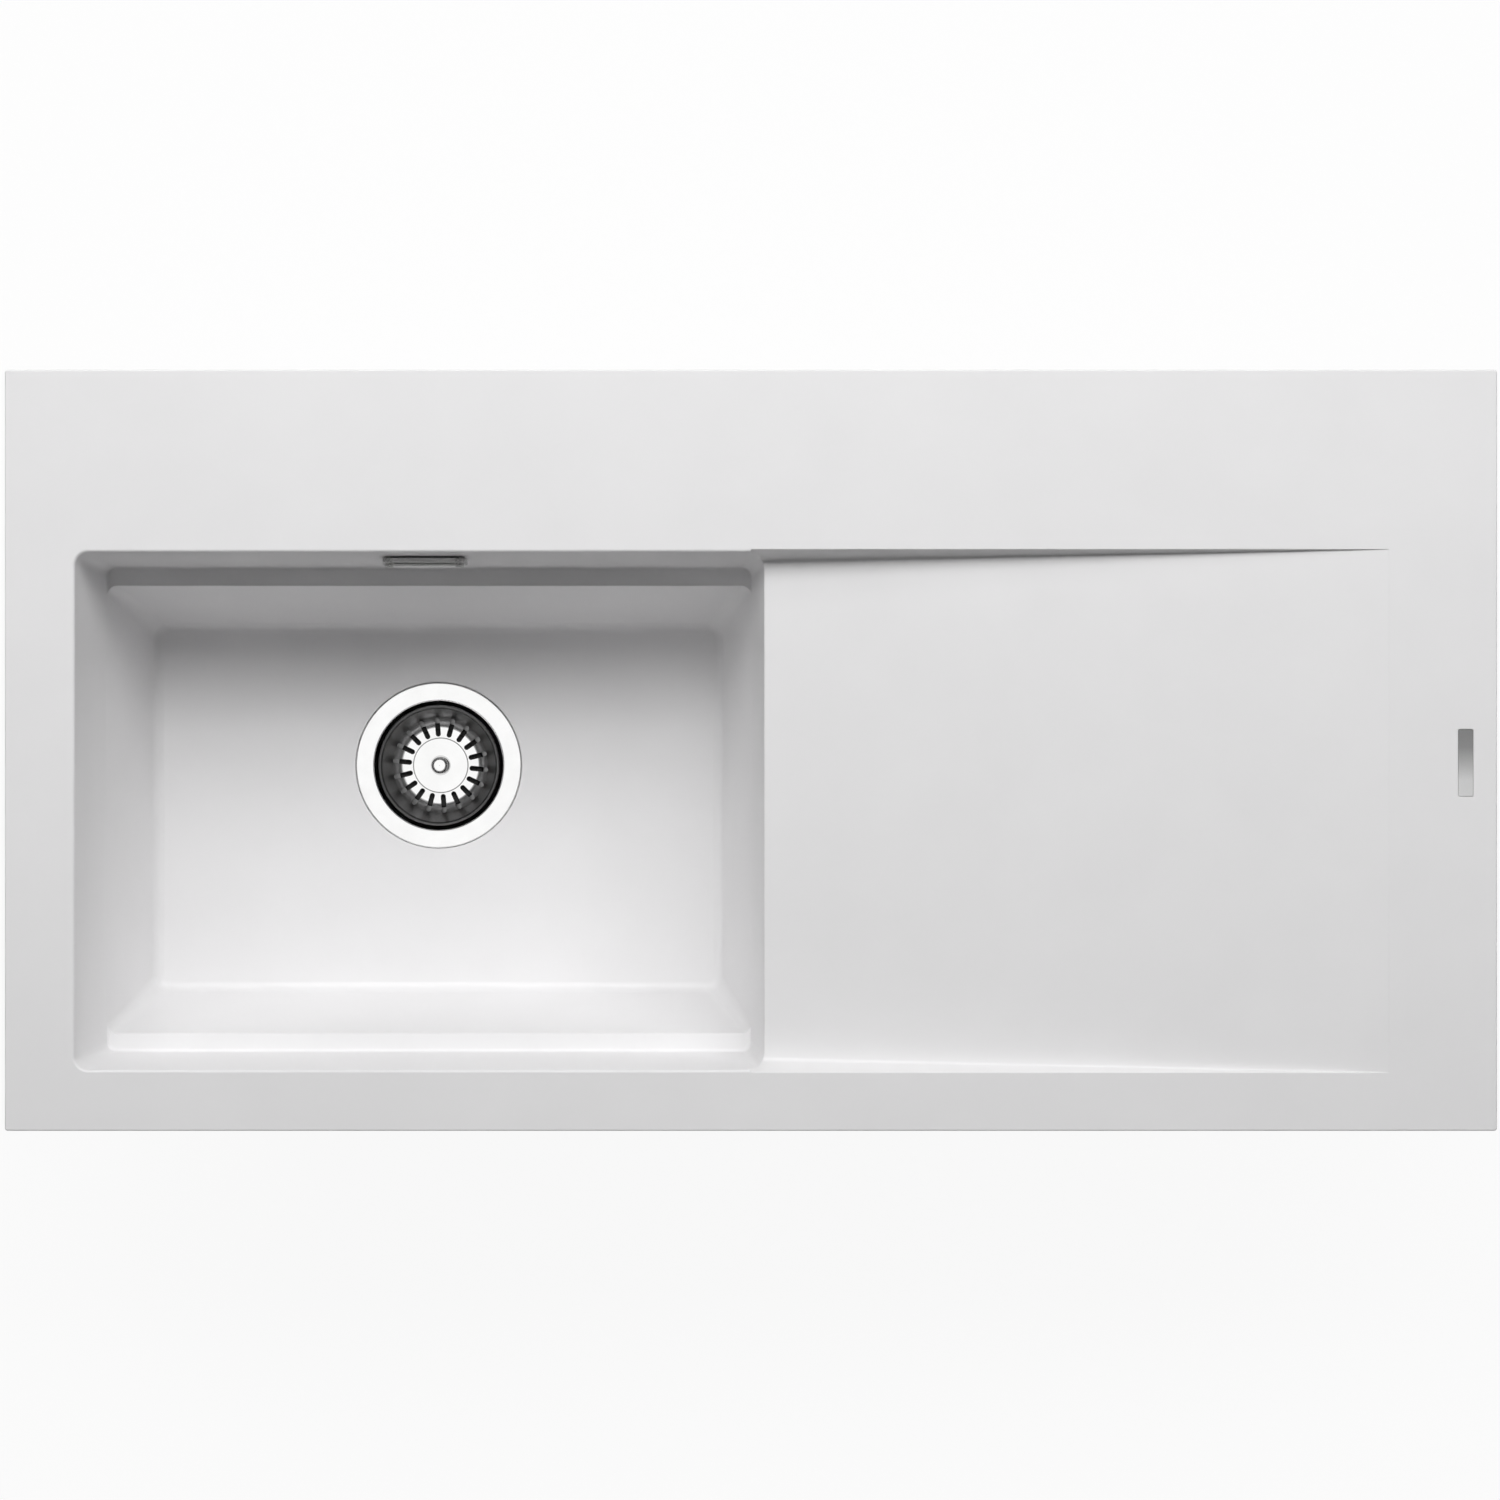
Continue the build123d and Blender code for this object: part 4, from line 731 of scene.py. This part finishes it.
def make_waste_body():
    """The chamber below the bowl, its gussets, outlet thread, overflow inlet, hub and ribs."""
    flange_radius = size("body_gasket").x / 2
    total = size("waste_body").z
    flange_under = total - BODY_FLANGE_THICKNESS
    foot = total - BODY_BELOW_TOP
    cone_end = foot - BODY_CONE_HEIGHT
    bore = BODY_RADIUS - BODY_WALL
    outlet_bore = OUTLET_RADIUS - OUTLET_WALL
    shape = bmesh.new()
    place = drain("waste_body")
    turned(shape, place, rounded([
        (bore, total, MOULDED_EDGE),
        (bore, foot + BODY_WALL / 2, INNER_ROUND),
        (outlet_bore, cone_end + BODY_WALL / 2, INNER_ROUND),
        (outlet_bore, 0, MOULDED_EDGE),
        (OUTLET_THREAD_ROOT, 0, OUTER_EDGE),
        (OUTLET_THREAD_ROOT, cone_end - OUTLET_SHOULDER, MOULDED_EDGE / 2),
        (OUTLET_RADIUS, cone_end - OUTLET_SHOULDER, MOULDED_EDGE),
        (OUTLET_RADIUS, cone_end, OUTLET_SHOULDER_ROUND),
        (BODY_RADIUS, foot, CONE_ROUND),
        (BODY_RADIUS, flange_under, INNER_ROUND),
        (flange_radius, flange_under, OUTER_EDGE),
        (flange_radius, total, TOP_EDGE),
    ]), segments=BODY_SEGMENTS)
    screw_thread(
        shape,
        place,
        OUTLET_THREAD_ROOT - THREAD_SUNK,
        OUTLET_RADIUS,
        OUTLET_THREAD_PITCH,
        THREAD_CLEAR,
        cone_end - OUTLET_SHOULDER - THREAD_CLEAR,
        OUTLET_SEGMENTS,
    )
    gusset = [
        (BODY_RADIUS - SUNK, -GUSSET_HEIGHT),
        (flange_radius - GUSSET_SET_IN, -GUSSET_SET_IN),
        (flange_radius - GUSSET_SET_IN, SUNK),
        (BODY_RADIUS - SUNK, SUNK),
    ]
    upright = Matrix.Rotation(math.pi / 2, 4, "X")
    for step in range(GUSSET_COUNT):
        round_ = Matrix.Rotation(2 * math.pi * (step + 0.5) / GUSSET_COUNT, 4, "Z")
        stand = place @ Matrix.Translation((0, 0, flange_under)) @ round_ @ upright
        prism(shape, stand, gusset, -GUSSET_THICKNESS / 2, GUSSET_THICKNESS / 2)
    rearward = Matrix.Rotation(-math.pi / 2, 4, "X")
    inlet = at(DRAIN_X, DRAIN_Y, HOSE_FOOT.z, rearward)
    collar_end = BODY_RADIUS + SPIGOT_COLLAR_LENGTH
    turned(shape, inlet, rounded([
        (HOSE_BORE_RADIUS, bore + SUNK, 0),
        (SPIGOT_COLLAR_RADIUS, bore + SUNK, 0),
        (SPIGOT_COLLAR_RADIUS, collar_end, OUTER_EDGE),
        (SPIGOT_RADIUS, collar_end, OUTER_EDGE),
        (SPIGOT_RADIUS, INLET_REACH, TOP_EDGE),
        (HOSE_BORE_RADIUS, INLET_REACH, TOP_EDGE),
    ]))
    hub_top = (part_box("waste_insert")[1].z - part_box("waste_body")[0].z) / MM
    hub_bottom = hub_top - HUB_HEIGHT
    insert_radius = size("waste_insert").x / 2
    turned(shape, place, rounded([
        (insert_radius, hub_bottom, MOULDED_EDGE),
        (HUB_RADIUS, hub_bottom, OUTER_EDGE),
        (HUB_RADIUS, hub_top, OUTER_EDGE),
        (insert_radius, hub_top, MOULDED_EDGE),
    ]), segments=HUB_SEGMENTS)
    for step in range(HUB_RIB_COUNT):
        round_ = Matrix.Rotation(2 * math.pi * step / HUB_RIB_COUNT - math.pi / 2, 4, "Z")
        rib = plan(bore - HUB_RADIUS + 2 * SUNK, HUB_RIB_THICKNESS, HUB_RIB_CORNER)
        along = Matrix.Translation(((bore + HUB_RADIUS) / 2, 0, 0))
        prism(shape, place @ round_ @ along, rib, hub_bottom, hub_top)
    stand_in("waste_body", shape)


# ---- Clamps: threaded screws with slotted heads, and claws with a toothed end ----
SCREW_ROOT = 2.05
SCREW_CREST = 2.5
SCREW_PITCH = 0.8
SCREW_HEAD_RADIUS = 5.0
SCREW_HEAD_HEIGHT = 3.5
SCREW_SLOT_HALF = 0.6
SCREW_TIP = 0.5
SCREW_SEGMENTS = 16
HEAD_SEGMENTS = 48
HALF_DISC_STEPS = 24
CLAW_COUNT = 8
CLAW_THICKNESS = 2.0
CLAW_BEND_RADIUS = 2.6
CLAW_TEETH = 5
CLAW_TOOTH_DEPTH = 1.2
CLAW_HOLE_FROM_MIDDLE = 8.5
CLAW_EDGE = 0.3

# Heights in the screw's head in millimetres, with the share of its radius there.
HEAD_DOME = ((0, 0.82), (0.3, 0.92), (0.8, 0.98), (SCREW_HEAD_HEIGHT / 2, 1))
HEAD_BACK = ((SCREW_HEAD_HEIGHT / 2, 1), (SCREW_HEAD_HEIGHT - 0.3, 1), (SCREW_HEAD_HEIGHT, 0.94))


def claw_place(number):
    """Local millimetres at a claw's hole, with X along the claw and Y out of the cut-out."""
    node = f"clamp_claw_{number}"
    centre = middle(node)
    length, width, _ = size(node)
    if length > width:
        outward = Vector((0, math.copysign(1, centre.y)))
    else:
        outward = Vector((math.copysign(1, centre.x), 0))
    along = Vector((outward.y, -outward.x, 0))
    turn = Matrix.Rotation(math.atan2(along.y, along.x), 4, "Z")
    hole = centre - along * CLAW_HOLE_FROM_MIDDLE * MM
    return at(hole.x, hole.y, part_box(node)[0].z, turn)


def make_claw(number):
    """A bent plate whose upturned end has teeth that bite under the worktop."""
    node = f"clamp_claw_{number}"
    width, length, height = sorted(size(node)[:2]) + [size(node).z]
    back = length / 2 - CLAW_HOLE_FROM_MIDDLE
    reach = length - back
    inner = CLAW_BEND_RADIUS - CLAW_THICKNESS
    outline = rounded([
        (-back, 0, 0),
        (reach, 0, CLAW_BEND_RADIUS),
        (reach, height, 0),
        (reach - CLAW_THICKNESS, height, 0),
        (reach - CLAW_THICKNESS, CLAW_THICKNESS, inner),
        (-back, CLAW_THICKNESS, 0),
    ])
    rings = []
    for step in range(2 * CLAW_TEETH + 1):
        across = width * (step / (2 * CLAW_TEETH) - 0.5)
        notch = CLAW_TOOTH_DEPTH if step % 2 == 0 else 0
        rings.append([(x, across, z - notch if z == height else z) for x, z in outline])
    shape = bmesh.new()
    skin(shape, claw_place(number), rings)
    stand_in(node, shape, f"claw_{number}", edge=CLAW_EDGE)


def half_disc(radius, height, side):
    """Half a level disc, cut short of the slot across it."""
    start = math.asin(SCREW_SLOT_HALF / radius)
    points = []
    for step in range(HALF_DISC_STEPS + 1):
        angle = start + (math.pi - 2 * start) * step / HALF_DISC_STEPS
        points.append((side * radius * math.cos(angle), side * radius * math.sin(angle), height))
    return points


def make_clamp_screws():
    """Slotted screws that hang from the rim, head down, with their threads."""
    low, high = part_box("clamp_screws")
    total = (high.z - low.z) / MM
    tip = ((total - SCREW_TIP, 1), (total, 0.8))
    shape = bmesh.new()
    for number in range(1, CLAW_COUNT + 1):
        place = claw_place(number)
        place = at(place.translation.x, place.translation.y, low.z)
        for side in (1, -1):
            dome = [half_disc(SCREW_HEAD_RADIUS * share, height, side) for height, share in HEAD_DOME]
            skin(shape, place, dome)
        skin(shape, place, [circle(SCREW_HEAD_RADIUS * share, z, HEAD_SEGMENTS) for z, share in HEAD_BACK])
        screw_thread(
            shape,
            place,
            SCREW_ROOT,
            SCREW_CREST,
            SCREW_PITCH,
            SCREW_HEAD_HEIGHT - THREAD_SUNK,
            total - SCREW_TIP + THREAD_SUNK,
            SCREW_SEGMENTS,
        )
        skin(shape, place, [circle(SCREW_ROOT * share, z, SCREW_SEGMENTS) for z, share in tip])
    stand_in("clamp_screws", shape)


# ---- Strainer: the basket's sealing disc and its knob ----
STEM_HOLE_RADIUS = 2.6
SEAL_THICKNESS = 3.0
SEAL_LIP_WIDTH = 3.0
SEAL_LIP_TIP = 1.4
SEAL_LIP_STEP = 0.6
SEAL_RIM_WIDTH = 4.0
SEAL_DISH = 0.7
SEAL_HUB_RADIUS = 9.0
SEAL_SLOPE = 1.0
SEAL_EDGE = 0.4
KNOB_NECK_RADIUS = 3.8
KNOB_CAP = 5.0
KNOB_CAP_EDGE = 1.7
KNOB_FLARE = 2.0
KNOB_NECK_ROUND = 1.4
KNOB_EDGE = 0.6
KNOB_SEGMENTS = 64
KNOB_CORE_RADIUS = 0.5


def make_basket_seal():
    """A dished rubber disc with a lip that turns down round its edge."""
    radius = size("basket_seal").x / 2
    top = size("basket_seal").z
    under = top - SEAL_THICKNESS
    dish = top - SEAL_DISH
    lip = radius - SEAL_LIP_WIDTH
    rim = radius - SEAL_RIM_WIDTH
    shape = bmesh.new()
    turned(shape, drain("basket_seal"), rounded([
        (STEM_HOLE_RADIUS, under, SEAL_EDGE / 2),
        (lip, under, 3 * SEAL_EDGE),
        (lip + SEAL_LIP_STEP, SEAL_EDGE, SEAL_EDGE / 2),
        (radius - SEAL_LIP_TIP, 0, SEAL_EDGE),
        (radius, 2 * SEAL_EDGE, SEAL_EDGE),
        (radius, top, 3 * SEAL_EDGE),
        (rim, top, SEAL_EDGE),
        (rim - SEAL_SLOPE, dish, SEAL_EDGE),
        (SEAL_HUB_RADIUS + SEAL_SLOPE, dish, SEAL_EDGE),
        (SEAL_HUB_RADIUS, top, SEAL_EDGE),
        (STEM_HOLE_RADIUS, top, SEAL_EDGE / 2),
    ]))
    stand_in("basket_seal", shape, "basket_lifter")


def make_knob():
    """A small turned knob with a narrow neck and a chamfered cap."""
    radius = size("basket_knob").x / 2
    height = size("basket_knob").z
    cap = height - KNOB_CAP
    outline = rounded([
        (KNOB_CORE_RADIUS, 0, 0),
        (radius, 0, KNOB_EDGE),
        (KNOB_NECK_RADIUS, KNOB_FLARE, KNOB_NECK_ROUND),
        (KNOB_NECK_RADIUS, cap - KNOB_FLARE, KNOB_NECK_ROUND),
        (radius, cap, KNOB_EDGE),
        (radius, height - KNOB_CAP_EDGE, KNOB_EDGE),
        (radius - KNOB_CAP_EDGE, height, KNOB_EDGE),
        (KNOB_CORE_RADIUS, height, 0),
    ])
    shape = bmesh.new()
    skin(shape, drain("basket_knob"), [circle(x, y, KNOB_SEGMENTS) for x, y in outline])
    stand_in("basket_knob", shape, "basket_lifter")


make_rim_seal()
make_drain_gasket("flange_gasket", DRAIN_HOLE_RADIUS + FLANGE_SEAT_GAP)
make_drain_gasket("body_gasket", DRAIN_HOLE_RADIUS)
make_overflow_gasket()
make_hose()
make_hose_washers()
make_nut("hose_nut_upper", hose_place(HOSE_COLLAR_THICKNESS + NUT_LIP) @ Matrix.Rotation(math.pi, 4, "X"))
make_nut("hose_nut_lower", hose_place(hose_length - HOSE_COLLAR_THICKNESS - NUT_LIP))
make_waste_body()
for claw in range(1, CLAW_COUNT + 1):
    make_claw(claw)
make_clamp_screws()
make_basket_seal()
make_knob()


# ---- Floor, lights and background ----
FLOOR_SIZE = 30.0
FLOOR_GAP = 0.5 * MM
FLOOR_TONE = 0.9
FLOOR_ROUGHNESS = 0.9
FLOOR_WHITE_SHARE = 0.93
AMBIENT = 0.015
HORIZON_GLOSS = 0.10
GLOSS_FROM_ELEVATION = 66
GLOSS_FULL_ELEVATION = 78
SOFTBOX_DISTANCE = 3.2

# Each softbox: degrees round from the rear towards +X, degrees up, width, height, watts.
SOFTBOXES = {
    "rear_low": (0, 32, 2.4, 0.7, 10.5),
    "rear_middle": (0, 48, 2.4, 0.7, 8.5),
    "rear_high": (0, 64, 2.2, 0.8, 38.5),
    "rear_left": (-40, 46, 1.6, 1.0, 21.5),
    "rear_right": (40, 46, 1.6, 1.0, 26.5),
    "left": (-90, 32, 1.8, 1.0, 5.4),
    "front_high": (180, 30, 2.4, 0.8, 3.4),
}


def mirrored(path, tree):
    """One for rays that metal, gloss and glass send out."""
    return larger(tree, path.outputs["Is Glossy Ray"], path.outputs["Is Transmission Ray"])


def add_floor():
    """A pale floor below the outlet, nearly white to the camera, that keeps the shadow."""
    mesh = bpy.data.meshes.new("floor")
    half = FLOOR_SIZE / 2
    level = CAD_BOX[0].z - FLOOR_GAP
    corners = [(-half, -half, level), (half, -half, level), (half, half, level), (-half, half, level)]
    mesh.from_pydata(corners, [], [(0, 1, 2, 3)])
    floor = bpy.data.objects.new("floor", mesh)
    bpy.context.scene.collection.objects.link(floor)
    material, tree, shader = new_material("floor")
    shader.inputs["Base Color"].default_value = (FLOOR_TONE, FLOOR_TONE, FLOOR_TONE, 1)
    shader.inputs["Roughness"].default_value = FLOOR_ROUGHNESS
    path = tree.nodes.new("ShaderNodeLightPath")
    seen = larger(tree, path.outputs["Is Camera Ray"], mirrored(path, tree))
    glow = tree.nodes.new("ShaderNodeEmission")
    mix = tree.nodes.new("ShaderNodeMixShader")
    tree.links.new(ranged(tree, seen, 0, 1, 0, FLOOR_WHITE_SHARE), mix.inputs["Fac"])
    tree.links.new(shader.outputs["BSDF"], mix.inputs[1])
    tree.links.new(glow.outputs["Emission"], mix.inputs[2])
    tree.links.new(mix.outputs["Shader"], tree.nodes["Material Output"].inputs["Surface"])
    mesh.materials.append(material)


def add_world():
    """White to the camera and overhead in the steel, darker low down, and dim as a light."""
    world = bpy.data.worlds.new("world")
    bpy.context.scene.world = world
    world.use_nodes = True
    world.cycles.sampling_method = "NONE"
    tree = world.node_tree
    background = tree.nodes["Background"]
    background.inputs["Color"].default_value = (1, 1, 1, 1)
    direction = tree.nodes.new("ShaderNodeTexCoord")
    parts = tree.nodes.new("ShaderNodeSeparateXYZ")
    tree.links.new(direction.outputs["Generated"], parts.inputs[0])
    low = math.sin(math.radians(GLOSS_FROM_ELEVATION))
    high = math.sin(math.radians(GLOSS_FULL_ELEVATION))
    overhead = ranged(tree, parts.outputs["Z"], low, high, HORIZON_GLOSS, 1)
    path = tree.nodes.new("ShaderNodeLightPath")
    unseen = ranged(tree, mirrored(path, tree), 0, 1, AMBIENT, overhead)
    strength = ranged(tree, path.outputs["Is Camera Ray"], 0, 1, unseen, 1)
    tree.links.new(strength, background.inputs["Strength"])


def mirror_pieces():
    """The polished pieces, which show the white overhead and the dark round it but no lamp."""
    shaded = bpy.data.collections.new("mirror_pieces")
    for piece in bpy.data.objects:
        if piece.type == "MESH" and MATERIALS["steel_polished"] in list(piece.data.materials):
            shaded.objects.link(piece)
    for member in shaded.collection_objects:
        member.light_linking.link_state = "EXCLUDE"
    return shaded


def add_softbox(name, receivers, azimuth, elevation, width, height, power):
    """A rectangular softbox aimed at the slab's centre, kept off the excluded receivers."""
    data = bpy.data.lights.new(name, "AREA")
    data.shape = "RECTANGLE"
    data.size = width
    data.size_y = height
    data.energy = power
    lamp = bpy.data.objects.new(name, data)
    bpy.context.scene.collection.objects.link(lamp)
    round_ = math.radians(azimuth)
    up = math.radians(elevation)
    level = SOFTBOX_DISTANCE * math.cos(up)
    place = Vector((level * math.sin(round_), level * math.cos(round_), SOFTBOX_DISTANCE * math.sin(up)))
    lamp.location = place
    lamp.rotation_euler = (-place).to_track_quat("-Z", "Y").to_euler()
    lamp.visible_camera = False
    lamp.light_linking.receiver_collection = receivers


add_floor()
add_world()
lamp_free = mirror_pieces()
for softbox, numbers in SOFTBOXES.items():
    add_softbox(softbox, lamp_free, *numbers)

bpy.context.scene.view_settings.view_transform = "Standard"
